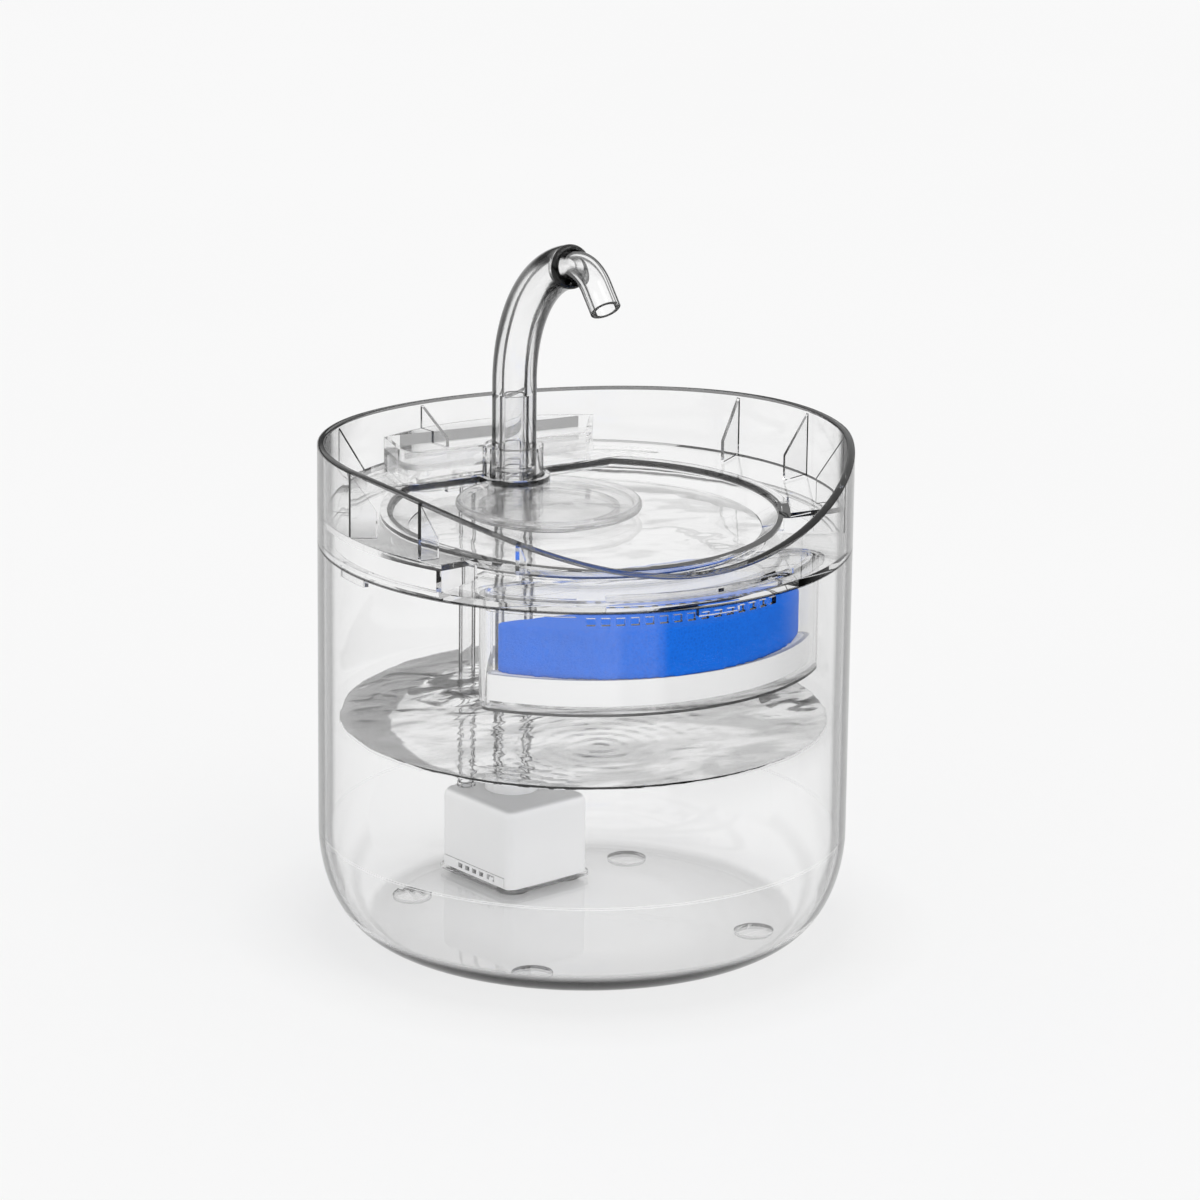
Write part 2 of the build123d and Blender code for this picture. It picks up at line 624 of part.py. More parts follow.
def make_faucet_tube():
    path = faucet_path()
    foot_z = SOCKET_FLOOR_Z + REST_GAP
    start = Plane(origin=path @ 0, z_dir=path % 0)
    end = Plane(origin=path @ 1, z_dir=path % 1)
    straight = loft([Pos(0, FAUCET_Y, foot_z) * Circle(FAUCET_R), start * Circle(FAUCET_R)])
    tube = straight + sweep([start * Circle(FAUCET_R), end * Circle(FAUCET_TIP_R)], path, multisection=True)
    tube = fillet(tube.edges().sort_by_distance(path @ 1)[0], FAUCET_SHOULDER)
    tube -= rod(FAUCET_BORE_R, foot_z - 1, FAUCET_BEND_Z, 0, FAUCET_Y)
    tube -= sweep(start * Circle(FAUCET_BORE_R), path)
    tube -= rod(SPIGOT_R + 2 * RUNNING_GAP, foot_z - 1, SPIGOT_TOP_Z + REST_GAP, 0, FAUCET_Y)
    tail = Cylinder(NOZZLE_R + RUNNING_GAP, NOZZLE_TAIL, align=(Align.CENTER, Align.CENTER, Align.MAX))
    tube -= end * tail
    groove_h = 2 * SEAL_SECTION_R + 2 * SEAT_GAP
    groove_r = FAUCET_CUP_R - RUNNING_GAP - 2 * SEAL_SECTION_R - RUNNING_GAP
    groove = ring(FAUCET_R + 1, groove_r, SEAL_Z - groove_h / 2, SEAL_Z + groove_h / 2)
    return tube - Pos(0, FAUCET_Y, 0) * groove


def make_faucet_nozzle():
    path = faucet_path()
    end = path @ 1
    heading = math.radians(FAUCET_BEND_DEG + 90)
    along = Vector(math.cos(heading), math.sin(heading))
    tail = Vector(end.Y, end.Z) - along * NOZZLE_TAIL
    lead = Vector(end.Y, end.Z) + along * NOZZLE_LEAD
    rise = FAUCET_BEND_DEG + 90
    turn = NOZZLE_DROP_DEG + (180 - rise)
    first = Line(tail, lead)
    bend = JernArc(start=lead, tangent=first % 1, radius=NOZZLE_BEND_R, arc_size=turn)
    last = Line(bend @ 1, (bend @ 1) + (bend % 1) * NOZZLE_SPOUT)
    route = Plane.YZ * (Curve() + [first, bend, last])
    section = Plane(origin=route @ 0, z_dir=route % 0)
    outer = sweep(section * Circle(NOZZLE_R), route)
    return outer - sweep(section * Circle(NOZZLE_BORE_R), route)


def make_faucet_seal():
    """The ring in the faucet's groove, at the section it has when pressed into the socket."""
    centre_r = FAUCET_CUP_R - RUNNING_GAP - SEAL_SECTION_R
    return Pos(0, FAUCET_Y, SEAL_Z) * Torus(centre_r, SEAL_SECTION_R)


# ---------------------------------------------------------------- filter drawer
def box_plan(inset=0.0):
    """The drawer's D shape: the tank's curve in front and a straight back."""
    half = TANK_R
    plan = Circle(BOX_R - inset) & (Pos(0, BOX_CHORD_Y - inset - half) * Rectangle(BIG, 2 * half))
    return fillet(plan.vertices(), BOX_CORNER_R - inset)


def in_drawer(shape):
    """Turns a shape drawn with the drawer square to the front to where the drawer hangs."""
    return Rot(0, 0, BOX_TURN) * shape


def make_filter_box():
    box = prism(box_plan(), BOX_BOTTOM_Z, BOX_TOP_Z)
    box += prism(box_plan(-BOX_FLANGE), BOX_TOP_Z - BOX_FLANGE_THICK, BOX_TOP_Z)
    box -= prism(box_plan(BOX_WALL), BOX_BOTTOM_Z + BOX_FLOOR, BOX_TOP_Z + 1)
    comb_r = BOX_R - BOX_WALL / 2
    slot = Pos(comb_r, 0, COMB_TOP_Z - COMB_SLOT_H / 2) * Box(3 * BOX_WALL, COMB_SLOT_W, COMB_SLOT_H)
    first_az = FRONT_AZ - COMB_PITCH_AZ * (COMB_COUNT - 1) / 2
    for i in range(COMB_COUNT):
        box -= Rot(0, 0, first_az + COMB_PITCH_AZ * i) * slot
    for x, y in floor_slot_centres():
        box -= Pos(x, y, BOX_BOTTOM_Z) * Box(FLOOR_SLOT_W, FLOOR_SLOT_L, 4 * BOX_FLOOR)
    return in_drawer(box)


def floor_slot_centres():
    """Rows of slots that stay inside the drawer's curve."""
    places = []
    for row in range(FLOOR_SLOT_ROWS):
        back = BOX_CHORD_Y - BOX_WALL - FLOOR_SLOT_BACK - row * (FLOOR_SLOT_L + FLOOR_SLOT_ROW_GAP)
        y = back - FLOOR_SLOT_L / 2
        for i in range(FLOOR_SLOT_COUNT):
            x = (i - (FLOOR_SLOT_COUNT - 1) / 2) * FLOOR_SLOT_PITCH
            corner = math.hypot(abs(x) + FLOOR_SLOT_W, abs(y) + FLOOR_SLOT_L / 2)
            if corner < BOX_R - BOX_WALL - FLOOR_SLOT_EDGE:
                places.append((x, y))
    return places


def make_box_guide():
    """The wall under the lid that the drawer's back and corners push over."""
    inset = BOX_WALL + RUNNING_GAP * 3
    guide = prism(box_plan(inset), LID_BOTTOM_Z - BOX_GUIDE_DROP, LID_BOTTOM_Z + BURY)
    guide -= prism(box_plan(inset + BOX_GUIDE_THICK), LID_BOTTOM_Z - BOX_GUIDE_DROP - 1, LID_BOTTOM_Z + 1)
    comb_half = COMB_PITCH_AZ * (COMB_COUNT + 1) / 2
    comb = sector(FRONT_AZ, comb_half, BIG, LID_BOTTOM_Z - BOX_GUIDE_DROP - 1, LID_BOTTOM_Z)
    return in_drawer(guide - comb)


# ---------------------------------------------------------------- filter cartridge
def media_plan(inset=0.0):
    """The cartridge's D shape: the drawer's own, a little smaller, and shorter at both ends."""
    outer = BOX_WALL + CARTRIDGE_FIT
    chord_half = math.sqrt((BOX_R - outer) ** 2 - (BOX_CHORD_Y - outer) ** 2)
    width = 2 * (chord_half - CARTRIDGE_END_GAP - inset)
    behind = Pos(0, BOX_CHORD_Y - outer - inset - TANK_R) * Rectangle(width, 2 * TANK_R)
    plan = Circle(BOX_R - outer - inset) & behind
    return fillet(plan.vertices().group_by(Axis.Y)[-1], CARTRIDGE_CORNER_R - inset)


def make_cartridge_frame():
    top = FRAME_Z + FRAME_FLOOR + 2 * COTTON_THICK + CARBON_THICK
    frame = prism(media_plan(), FRAME_Z, top)
    frame -= prism(media_plan(FRAME_WALL), FRAME_Z + FRAME_FLOOR, top + 1)
    for x, y in floor_slot_centres():
        frame -= Pos(x, y, FRAME_Z) * Box(FLOOR_SLOT_W, FLOOR_SLOT_L, 4 * FRAME_FLOOR)
    return in_drawer(frame)


def make_layer(z_low, thick, inset):
    return in_drawer(prism(media_plan(inset), z_low, z_low + thick))


# ---------------------------------------------------------------- pump
def in_pump(shape):
    """Puts a shape drawn about the pump's own centre where the pump stands."""
    return Pos(PUMP_X, PUMP_Y, 0) * Rot(0, 0, PUMP_TURN) * shape


def pump_local(x, y):
    """A tank place seen from the pump's own centre."""
    turn = math.radians(-PUMP_TURN)
    dx, dy = x - PUMP_X, y - PUMP_Y
    return (
        dx * math.cos(turn) - dy * math.sin(turn),
        dx * math.sin(turn) + dy * math.cos(turn),
    )


DUCT_X, DUCT_Y = pump_local(0, FAUCET_Y)
GLAND_X, GLAND_Y = pump_local(GUIDE_X, GUIDE_Y)
COVER_TOP_Z = PUMP_BOTTOM_Z + REST_GAP + COVER_H
PLATE_Z = COVER_TOP_Z + REST_GAP
VOLUTE_Z = PLATE_Z + PLATE_THICK
CHAMBER_TOP_Z = VOLUTE_Z + CHAMBER_H
VOLUTE_TOP_Z = CHAMBER_TOP_Z + VOLUTE_ROOF
CORE_Z = VOLUTE_TOP_Z + 1.0


def inner_rect(gap):
    """The rounded rectangle that fits inside the pump's housing."""
    width = PUMP_W - 2 * (PUMP_WALL + gap)
    length = PUMP_L - 2 * (PUMP_WALL + gap)
    return RectangleRounded(width, length, PUMP_CORNER_R - PUMP_WALL)


def make_pump_housing():
    body = prism(RectangleRounded(PUMP_W, PUMP_L, PUMP_CORNER_R), PUMP_BOTTOM_Z, PUMP_TOP_Z)
    body = fillet(body.edges().group_by(Axis.Z)[-1], PUMP_EDGE_R)
    body -= prism(inner_rect(0), PUMP_BOTTOM_Z - 1, PUMP_TOP_Z - PUMP_WALL)
    mouth = block(
        -PUMP_W,
        0,
        -COVER_SIDE - REST_GAP,
        COVER_SIDE + REST_GAP,
        PUMP_BOTTOM_Z - 1,
        COVER_TOP_Z + REST_GAP,
    )
    body -= mouth
    body -= rod(DUCT_BORE_R + DUCT_WALL + SEAT_GAP, PUMP_BOTTOM_Z, PUMP_TOP_Z + 1, DUCT_X, DUCT_Y)
    body += rod(GLAND_R + GLAND_BOSS_WALL, PUMP_TOP_Z - GLAND_DEPTH, PUMP_TOP_Z, GLAND_X, GLAND_Y)
    body -= rod(GLAND_PLUG_R + SEAT_GAP, PUMP_BOTTOM_Z, PUMP_TOP_Z + 1, GLAND_X, GLAND_Y)
    return in_pump(body)


def make_base_plate():
    plate = RectangleRounded(PUMP_W + 2 * BASE_MARGIN, PUMP_L + 2 * BASE_MARGIN, PUMP_CORNER_R)
    base = prism(plate, PUMP_BOTTOM_Z - BASE_THICK, PUMP_BOTTOM_Z)
    for x in (-CUP_X, CUP_X):
        for y in (-CUP_Y, CUP_Y):
            base -= rod(CUP_NECK_R + SEAT_GAP, PUMP_BOTTOM_Z - 2 * BASE_THICK, PUMP_BOTTOM_Z + 1, x, y)
    return in_pump(base)


def make_suction_cups():
    under = PUMP_BOTTOM_Z - BASE_THICK
    cup = revolved(
        Polyline(
            (0, FLOOR_TOP_Z + CUP_RIM / 2),
            (CUP_R - 2 * CUP_RIM, FLOOR_TOP_Z),
            (CUP_R, FLOOR_TOP_Z),
            (CUP_R, FLOOR_TOP_Z + CUP_RIM / 2),
            (CUP_NECK_R + 1, under - SEAT_GAP),
            (CUP_NECK_R, under - SEAT_GAP),
            (CUP_NECK_R, PUMP_BOTTOM_Z - SEAT_GAP),
            (0, PUMP_BOTTOM_Z - SEAT_GAP),
            close=True,
        )
    )
    places = [Pos(x, y, 0) for x in (-CUP_X, CUP_X) for y in (-CUP_Y, CUP_Y)]
    return in_pump(Compound([place * cup for place in places]))


def make_intake_cover():
    """The drawer under the chamber: a shallow tray with slots low in its outer face."""
    x_out = -PUMP_W / 2
    x_in = PUMP_W / 2 - PUMP_WALL - REST_GAP
    low = PUMP_BOTTOM_Z + REST_GAP
    cover = block(x_out, x_in, -COVER_SIDE, COVER_SIDE, low, COVER_TOP_Z)
    front_wall = COVER_WALL + SHUTTER_THICK + 2 * REST_GAP
    cover -= block(
        x_out + front_wall,
        x_in - COVER_WALL,
        -COVER_SIDE + COVER_WALL,
        COVER_SIDE - COVER_WALL,
        low + 1,
        COVER_TOP_Z + 1,
    )
    shutter_x = x_out + COVER_WALL
    cover -= block(
        shutter_x,
        shutter_x + SHUTTER_THICK + 2 * REST_GAP,
        -COVER_SIDE + 2 * COVER_WALL,
        COVER_SIDE - 2 * COVER_WALL,
        low + 1,
        COVER_TOP_Z + 1,
    )
    slot_z = low + 1 + INTAKE_SLOT_H / 2
    for y in intake_slot_places():
        cover -= Pos(x_out, y, slot_z) * Box(4 * COVER_WALL, INTAKE_SLOT_W, INTAKE_SLOT_H)
    knob_slot_l = SHUTTER_TRAVEL + 2 * (SHUTTER_KNOB_R + REST_GAP)
    knob_slot = Box(4 * COVER_WALL, knob_slot_l, INTAKE_SLOT_H + 2 * SEAT_GAP)
    cover -= Pos(x_out, SHUTTER_KNOB_Y + SHUTTER_TRAVEL / 2, slot_z + SEAT_GAP) * knob_slot
    return in_pump(cover)


def intake_slot_places():
    first = INTAKE_SLOT_SHIFT - INTAKE_SLOT_PITCH * (INTAKE_SLOT_COUNT - 1) / 2
    return [first + INTAKE_SLOT_PITCH * i for i in range(INTAKE_SLOT_COUNT)]


def make_flow_shutter():
    """A comb-like strip behind the intake slots, which its knob slides to close or open them."""
    low = PUMP_BOTTOM_Z + REST_GAP + 1 + SEAT_GAP
    x_face = -PUMP_W / 2 + COVER_WALL + REST_GAP
    y_low = SHUTTER_KNOB_Y - SHUTTER_KNOB_R - 2 * SEAT_GAP
    y_high = intake_slot_places()[-1] + INTAKE_SLOT_W / 2 + 0.6
    strip = block(x_face, x_face + SHUTTER_THICK, y_low, y_high, low, COVER_TOP_Z - SEAT_GAP)
    for y in intake_slot_places():
        gap = Box(2 * SHUTTER_THICK, INTAKE_SLOT_W, INTAKE_SLOT_H)
        strip -= Pos(x_face + SHUTTER_THICK / 2, y, low + INTAKE_SLOT_H / 2) * gap
    x_tip = -PUMP_W / 2 - SHUTTER_KNOB_PROUD
    knob = Rot(0, 90, 0) * rod(SHUTTER_KNOB_R, 0, x_face + SHUTTER_THICK - x_tip)
    return in_pump(strip + Pos(x_tip, SHUTTER_KNOB_Y, low + SHUTTER_KNOB_R) * knob)


def make_chamber_plate():
    """Closes the impeller chamber, with the inlet eye and the spider that holds the lower bush."""
    plate = prism(inner_rect(SEAT_GAP), PLATE_Z, VOLUTE_Z)
    eye = rod(EYE_R, PLATE_Z, VOLUTE_Z) - rod(EYE_HUB_R, PLATE_Z, VOLUTE_Z)
    for i in range(EYE_SPOKES):
        spoke = block(0, EYE_R + 1, -0.6, 0.6, PLATE_Z, VOLUTE_Z)
        eye -= Rot(0, 0, 360 / EYE_SPOKES * i) * spoke
    place = Pos(ROTOR_X, ROTOR_Y, 0)
    bush_hole = rod(BUSH_R + RUNNING_GAP, PLATE_Z + PLATE_THICK - BUSH_H, VOLUTE_Z)
    return in_pump(plate - place * eye - place * bush_hole)


def make_volute_body():
    """The moulding with the impeller chamber, the rotor well and the outlet duct."""
    body = prism(inner_rect(SEAT_GAP), VOLUTE_Z, VOLUTE_TOP_Z)
    body += rod(WELL_R + WELL_WALL, VOLUTE_Z, WELL_TOP_Z + WELL_WALL, ROTOR_X, ROTOR_Y)
    body += rod(DUCT_BORE_R + DUCT_WALL, VOLUTE_Z, PUMP_TOP_Z + 1.0, DUCT_X, DUCT_Y)
    body -= rod(CHAMBER_R, VOLUTE_Z - 1, CHAMBER_TOP_Z, ROTOR_X, ROTOR_Y)
    body -= rod(WELL_R, VOLUTE_Z, WELL_TOP_Z - BUSH_H, ROTOR_X, ROTOR_Y)
    body -= rod(BUSH_R + RUNNING_GAP, VOLUTE_Z, WELL_TOP_Z, ROTOR_X, ROTOR_Y)
    seal_low = ring(SEAL_RING_R + 0.6, SEAL_RING_R - 0.6, VOLUTE_Z, VOLUTE_Z + 2 * SEAL_RING_SECTION)
    body -= Pos(ROTOR_X, ROTOR_Y, 0) * seal_low
    duct_low = VOLUTE_Z + 2 * SEAL_RING_SECTION + 0.5
    body -= rod(DUCT_BORE_R, duct_low, PUMP_TOP_Z + 2, DUCT_X, DUCT_Y)
    reach = math.hypot(DUCT_X - ROTOR_X, DUCT_Y - ROTOR_Y)
    heading = math.degrees(math.atan2(DUCT_Y - ROTOR_Y, DUCT_X - ROTOR_X))
    throat = block(0, reach, -DUCT_BORE_R, DUCT_BORE_R, duct_low, CHAMBER_TOP_Z)
    return in_pump(body - Pos(ROTOR_X, ROTOR_Y, 0) * Rot(0, 0, heading) * throat)


def make_impeller():
    """Six swept blades under a disc, on the stem that carries the magnet."""
    low = VOLUTE_Z + 0.5
    disc_low = CHAMBER_TOP_Z - 0.5 - IMPELLER_DISC
    stem_top = WELL_TOP_Z - BUSH_H - 2 * SLIDE_GAP
    wheel = rod(IMPELLER_R, disc_low, disc_low + IMPELLER_DISC)
    wheel += rod(MAGNET_BORE_R - RUNNING_GAP, low, stem_top)
    for i in range(BLADE_COUNT):
        blade = block(0, IMPELLER_R, 0, BLADE_THICK, low, disc_low + BURY)
        blade = Pos(MAGNET_BORE_R - 1.0, 0, 0) * Rot(0, 0, BLADE_SWEEP) * blade
        wheel += Rot(0, 0, 360 / BLADE_COUNT * i) * blade & rod(IMPELLER_R, low, CHAMBER_TOP_Z)
    wheel -= rod(SHAFT_R + RUNNING_GAP, low - 1, stem_top + 1)
    return in_pump(Pos(ROTOR_X, ROTOR_Y, 0) * wheel)


def make_rotor_magnet():
    low = CHAMBER_TOP_Z + SLIDE_GAP
    top = WELL_TOP_Z - BUSH_H - 3 * SLIDE_GAP
    return in_pump(Pos(ROTOR_X, ROTOR_Y, 0) * ring(MAGNET_R, MAGNET_BORE_R, low, top))


def make_shaft():
    return in_pump(rod(SHAFT_R, VOLUTE_Z - BUSH_H, WELL_TOP_Z, ROTOR_X, ROTOR_Y))


def make_bushes():
    low = ring(BUSH_R, SHAFT_R, VOLUTE_Z - BUSH_H, VOLUTE_Z)
    high = ring(BUSH_R, SHAFT_R, WELL_TOP_Z - BUSH_H, WELL_TOP_Z)
    return in_pump(Compound([Pos(ROTOR_X, ROTOR_Y, 0) * low, Pos(ROTOR_X, ROTOR_Y, 0) * high]))


def make_chamber_seal():
    ring_z = VOLUTE_Z + SEAL_RING_SECTION
    return in_pump(Pos(ROTOR_X, ROTOR_Y, ring_z) * Torus(SEAL_RING_R, SEAL_RING_SECTION))


CORE_LEFT = -PUMP_W / 2 + PUMP_WALL + 0.6
CORE_RIGHT = DUCT_X + DUCT_BORE_R + DUCT_WALL + 1.2 + CORE_LEG
CORE_FRONT = ROTOR_Y - CORE_POLE / 2
CORE_BACK = DUCT_Y + DUCT_BORE_R + DUCT_WALL + COIL_WIND + 0.8 + CORE_LEG
CORE_TOP = CORE_Z + CORE_THICK


def make_stator_core():
    """A U of laminations whose two poles reach to the rotor well."""
    well = WELL_R + WELL_WALL + SLIDE_GAP
    back = block(CORE_LEFT, CORE_RIGHT, CORE_BACK - CORE_LEG, CORE_BACK, CORE_Z, CORE_TOP)
    left = block(CORE_LEFT, CORE_LEFT + CORE_LEG, CORE_FRONT, CORE_BACK, CORE_Z, CORE_TOP)
    right = block(CORE_RIGHT - CORE_LEG, CORE_RIGHT, CORE_FRONT, CORE_BACK, CORE_Z, CORE_TOP)
    pole_back = CORE_FRONT + CORE_POLE
    poles = block(CORE_LEFT, CORE_RIGHT, CORE_FRONT, pole_back, CORE_Z, CORE_TOP)
    gap_low, gap_high = ROTOR_X - POLE_GAP / 2, ROTOR_X + POLE_GAP / 2
    poles -= block(gap_low, gap_high, CORE_FRONT - 1, pole_back + 1, CORE_Z - 1, CORE_TOP + 1)
    duct = rod(DUCT_BORE_R + DUCT_WALL + SLIDE_GAP, CORE_Z - 1, CORE_TOP + 1, DUCT_X, DUCT_Y)
    core = back + left + right + poles - rod(well, CORE_Z - 1, CORE_TOP + 1, ROTOR_X, ROTOR_Y)
    return in_pump(core - duct)


def make_stator_coil():
    """The winding round the core's back bar."""
    mid = (CORE_RIGHT + CORE_LEFT) / 2
    half = mid - CORE_LEFT - CORE_LEG - COIL_WIND
    front, back = CORE_BACK - CORE_LEG, CORE_BACK
    top = CORE_TOP + COIL_WIND
    coil = block(mid - half, mid + half, front - COIL_WIND, back + COIL_WIND, CORE_Z - COIL_UNDER, top)
    coil = fillet(coil.edges().filter_by(Axis.X), COIL_ROUND)
    bar = block(-BIG, BIG, front - SEAT_GAP, back + SEAT_GAP, CORE_Z - SEAT_GAP, CORE_TOP + SEAT_GAP)
    return in_pump(coil - bar)


def make_driver_board():
    x = PUMP_W / 2 - PUMP_WALL - BOARD_SPACE - BOARD_THICK
    face = x + BOARD_THICK
    board = block(x, face, -BOARD_L / 2, BOARD_L / 2, VOLUTE_TOP_Z, VOLUTE_TOP_Z + BOARD_H)
    chip_z = VOLUTE_TOP_Z + BOARD_H / 2
    chip = block(face - SEAT_GAP, face + CHIP_PROUD, -CHIP_W / 2, CHIP_W / 2, chip_z, chip_z + CHIP_H)
    for y in (-CHIP_PITCH, 0, CHIP_PITCH):
        board += Pos(0, y, 0) * chip
    return in_pump(board)


# ---------------------------------------------------------------- riser, collar and cable guide
def make_outlet_collar():
    seat_z = PUMP_TOP_Z + COLLAR_H - COLLAR_SOCKET
    collar = rod(COLLAR_R, PUMP_TOP_Z, PUMP_TOP_Z + COLLAR_H)
    collar = fillet(collar.edges().group_by(Axis.Z)[-1], 0.8)
    collar -= rod(RISER_R + RUNNING_GAP, seat_z, PUMP_TOP_Z + COLLAR_H + 1)
    collar -= rod(DUCT_BORE_R + DUCT_WALL + SEAT_GAP, PUMP_TOP_Z - 1, PUMP_TOP_Z + 1.0 + SEAT_GAP)
    collar -= rod(DUCT_BORE_R, PUMP_TOP_Z, seat_z + 1)
    return Pos(0, FAUCET_Y, 0) * collar


def make_riser_tube():
    low = PUMP_TOP_Z + COLLAR_H - COLLAR_SOCKET
    return Pos(0, FAUCET_Y, 0) * ring(RISER_R, RISER_BORE_R, low, RISER_TOP_Z)


def make_riser_seal():
    outer = RISER_R + RISER_SEAL_THICK - SEAT_GAP / 2
    seal = ring(outer, RISER_R + RUNNING_GAP, SLEEVE_BOTTOM_Z + SEAT_GAP, SLEEVE_BOTTOM_Z + RISER_SEAL_H)
    return Pos(0, FAUCET_Y, 0) * seal


def make_cable_gland():
    flange = ring(GLAND_R, GUIDE_BORE_R, PUMP_TOP_Z, PUMP_TOP_Z + GLAND_FLANGE)
    plug = ring(GLAND_PLUG_R, GUIDE_BORE_R - 0.4, PUMP_TOP_Z - GLAND_DEPTH, PUMP_TOP_Z)
    return Pos(GUIDE_X, GUIDE_Y, 0) * (flange + plug)


def make_cable_guide():
    low = PUMP_TOP_Z + GLAND_FLANGE
    tube = ring(GUIDE_R, GUIDE_BORE_R, low, GUIDE_TOP_Z)
    tube = fillet(tube.edges().group_by(Axis.Z)[-1], (GUIDE_R - GUIDE_BORE_R) * 0.45)
    return Pos(GUIDE_X, GUIDE_Y, 0) * tube


# ---------------------------------------------------------------- write the pieces
LAYER_INSET = FRAME_WALL + SEAT_GAP
COTTON_LOW_Z = FRAME_Z + FRAME_FLOOR
CARBON_Z = COTTON_LOW_Z + COTTON_THICK
COTTON_HIGH_Z = CARBON_Z + CARBON_THICK
SPONGE_Z = COTTON_HIGH_Z + COTTON_THICK

PIECES = {
    "tank": make_tank,
    "tank_feet": make_feet,
    "lid_shell": make_lid_shell,
    "riser_seal": make_riser_seal,
    "drinking_tray": make_tray,
    "splash_disc": make_splash_disc,
    "faucet_tube": make_faucet_tube,
    "faucet_nozzle": make_faucet_nozzle,
    "faucet_seal": make_faucet_seal,
    "filter_box": make_filter_box,
    "cartridge_frame": make_cartridge_frame,
    "cotton_pad_lower": lambda: make_layer(COTTON_LOW_Z, COTTON_THICK, LAYER_INSET),
    "carbon_layer": lambda: make_layer(CARBON_Z, CARBON_THICK, LAYER_INSET),
    "cotton_pad_upper": lambda: make_layer(COTTON_HIGH_Z, COTTON_THICK, LAYER_INSET),
    "filter_sponge": lambda: make_layer(SPONGE_Z, SPONGE_THICK, 0),
    "riser_tube": make_riser_tube,
    "outlet_collar": make_outlet_collar,
    "cable_gland": make_cable_gland,
    "cable_guide_tube": make_cable_guide,
    "pump_housing": make_pump_housing,
    "pump_base_plate": make_base_plate,
    "suction_cups": make_suction_cups,
    "intake_cover": make_intake_cover,
    "flow_shutter": make_flow_shutter,
    "chamber_plate": make_chamber_plate,
    "chamber_seal": make_chamber_seal,
    "volute_body": make_volute_body,
    "impeller": make_impeller,
    "rotor_magnet": make_rotor_magnet,
    "impeller_shaft": make_shaft,
    "shaft_bushes": make_bushes,
    "stator_core": make_stator_core,
    "stator_coil": make_stator_coil,
    "driver_board": make_driver_board,
}

os.makedirs("parts", exist_ok=True)
for node, make in PIECES.items():
    export_step(make(), f"parts/{node}.step")
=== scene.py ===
import math

import bmesh
import bpy
from mathutils import Matrix, Vector


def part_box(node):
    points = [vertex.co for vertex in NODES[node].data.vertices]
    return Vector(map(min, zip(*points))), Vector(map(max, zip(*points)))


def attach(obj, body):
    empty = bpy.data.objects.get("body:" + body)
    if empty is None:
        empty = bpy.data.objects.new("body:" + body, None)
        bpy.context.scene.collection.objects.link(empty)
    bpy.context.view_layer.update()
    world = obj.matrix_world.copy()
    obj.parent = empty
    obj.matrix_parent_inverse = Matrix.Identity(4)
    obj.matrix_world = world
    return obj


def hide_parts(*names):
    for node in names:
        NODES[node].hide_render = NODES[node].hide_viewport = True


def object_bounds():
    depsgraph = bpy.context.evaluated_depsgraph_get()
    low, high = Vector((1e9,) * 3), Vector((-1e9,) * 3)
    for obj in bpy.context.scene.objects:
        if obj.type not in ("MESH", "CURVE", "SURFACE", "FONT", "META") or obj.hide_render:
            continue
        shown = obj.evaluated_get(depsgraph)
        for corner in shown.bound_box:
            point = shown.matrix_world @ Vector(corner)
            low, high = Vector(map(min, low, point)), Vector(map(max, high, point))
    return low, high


# Pet water fountain: finishes, water, filter media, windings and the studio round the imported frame.
# Metres and degrees, in the frame of the CAD model. Z is up and the drinking side faces -Y.

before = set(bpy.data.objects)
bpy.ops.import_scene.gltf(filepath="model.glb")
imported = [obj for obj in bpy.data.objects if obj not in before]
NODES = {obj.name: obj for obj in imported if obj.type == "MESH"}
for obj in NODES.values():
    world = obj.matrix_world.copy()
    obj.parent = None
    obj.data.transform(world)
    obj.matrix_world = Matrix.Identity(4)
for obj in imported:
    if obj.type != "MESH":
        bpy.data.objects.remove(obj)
CAD_LOW, CAD_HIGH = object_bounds()

MM = 0.001

# ---- camera
AIM = Vector((0.00416, -0.00240, 0.1055))
VIEW_AZIMUTH = -30.0
VIEW_ELEVATION = 16.42
VIEW_DISTANCE = 1.636
VIEW_ROLL = 0.67
LENS = 158.6
SENSOR = 36.0
TOWARD_VIEW = (math.sin(math.radians(VIEW_AZIMUTH)), -math.cos(math.radians(VIEW_AZIMUTH)), 0.0)

# ---- floor and light
FLOOR_RADIUS = 14.0
BACKDROP_GREY = 0.935
# (distance from the axis as a share of the reach below, grey) of the painted shadow on the floor under and
# beside the tank
PAINTED_SHADOW_REACH = 0.2
FLOOR_PAINTED_SHADOW = [(0.0, 0.97), (0.2, 0.955), (0.4, 0.93), (0.46, 0.965), (0.56, 1.0)]
# (degrees round from the view, grey) of the painted reflections: cards that are not in the scene, painted on
# the floor for mirrored rays only, from the reach below outwards
PAINTED_CARD_ANGLES = [(-180, 0.75), (14, 0.75), (16, 0.5), (31, 0.5), (33, 0.04), (100, 0.04), (125, 0.75)]
PAINTED_CARD_PALE = 0.75
PAINTED_CARD_REACH = 0.24
PAINTED_CARD_BLEND = 0.05
# (height of the direction, grey) of the tent that the clear walls mirror
TENT = [(0.0, 0.8), (0.08, 0.1), (0.17, 0.1), (0.24, 0.85), (0.5, 0.95)]
WORLD_LEVEL = 0.86
KEY_FROM = (0.15, -0.85, 1.0)
KEY_STRENGTH = 0.62
KEY_SPREAD = 50.0
LIGHT_BOUNCES = 40

# ---- tank and lid
TANK_RADIUS = 82.5 * MM
WALL = 2.7 * MM
SEAM_Z = 125.4 * MM
SEAM_HALF = 0.3 * MM
LID_FOOT = 0.6 * MM
# a painted highlight line runs round the tank where its lower curve starts
CURVE_Z = 33.2 * MM
CURVE_HIGHLIGHT_HALF = 0.13 * MM
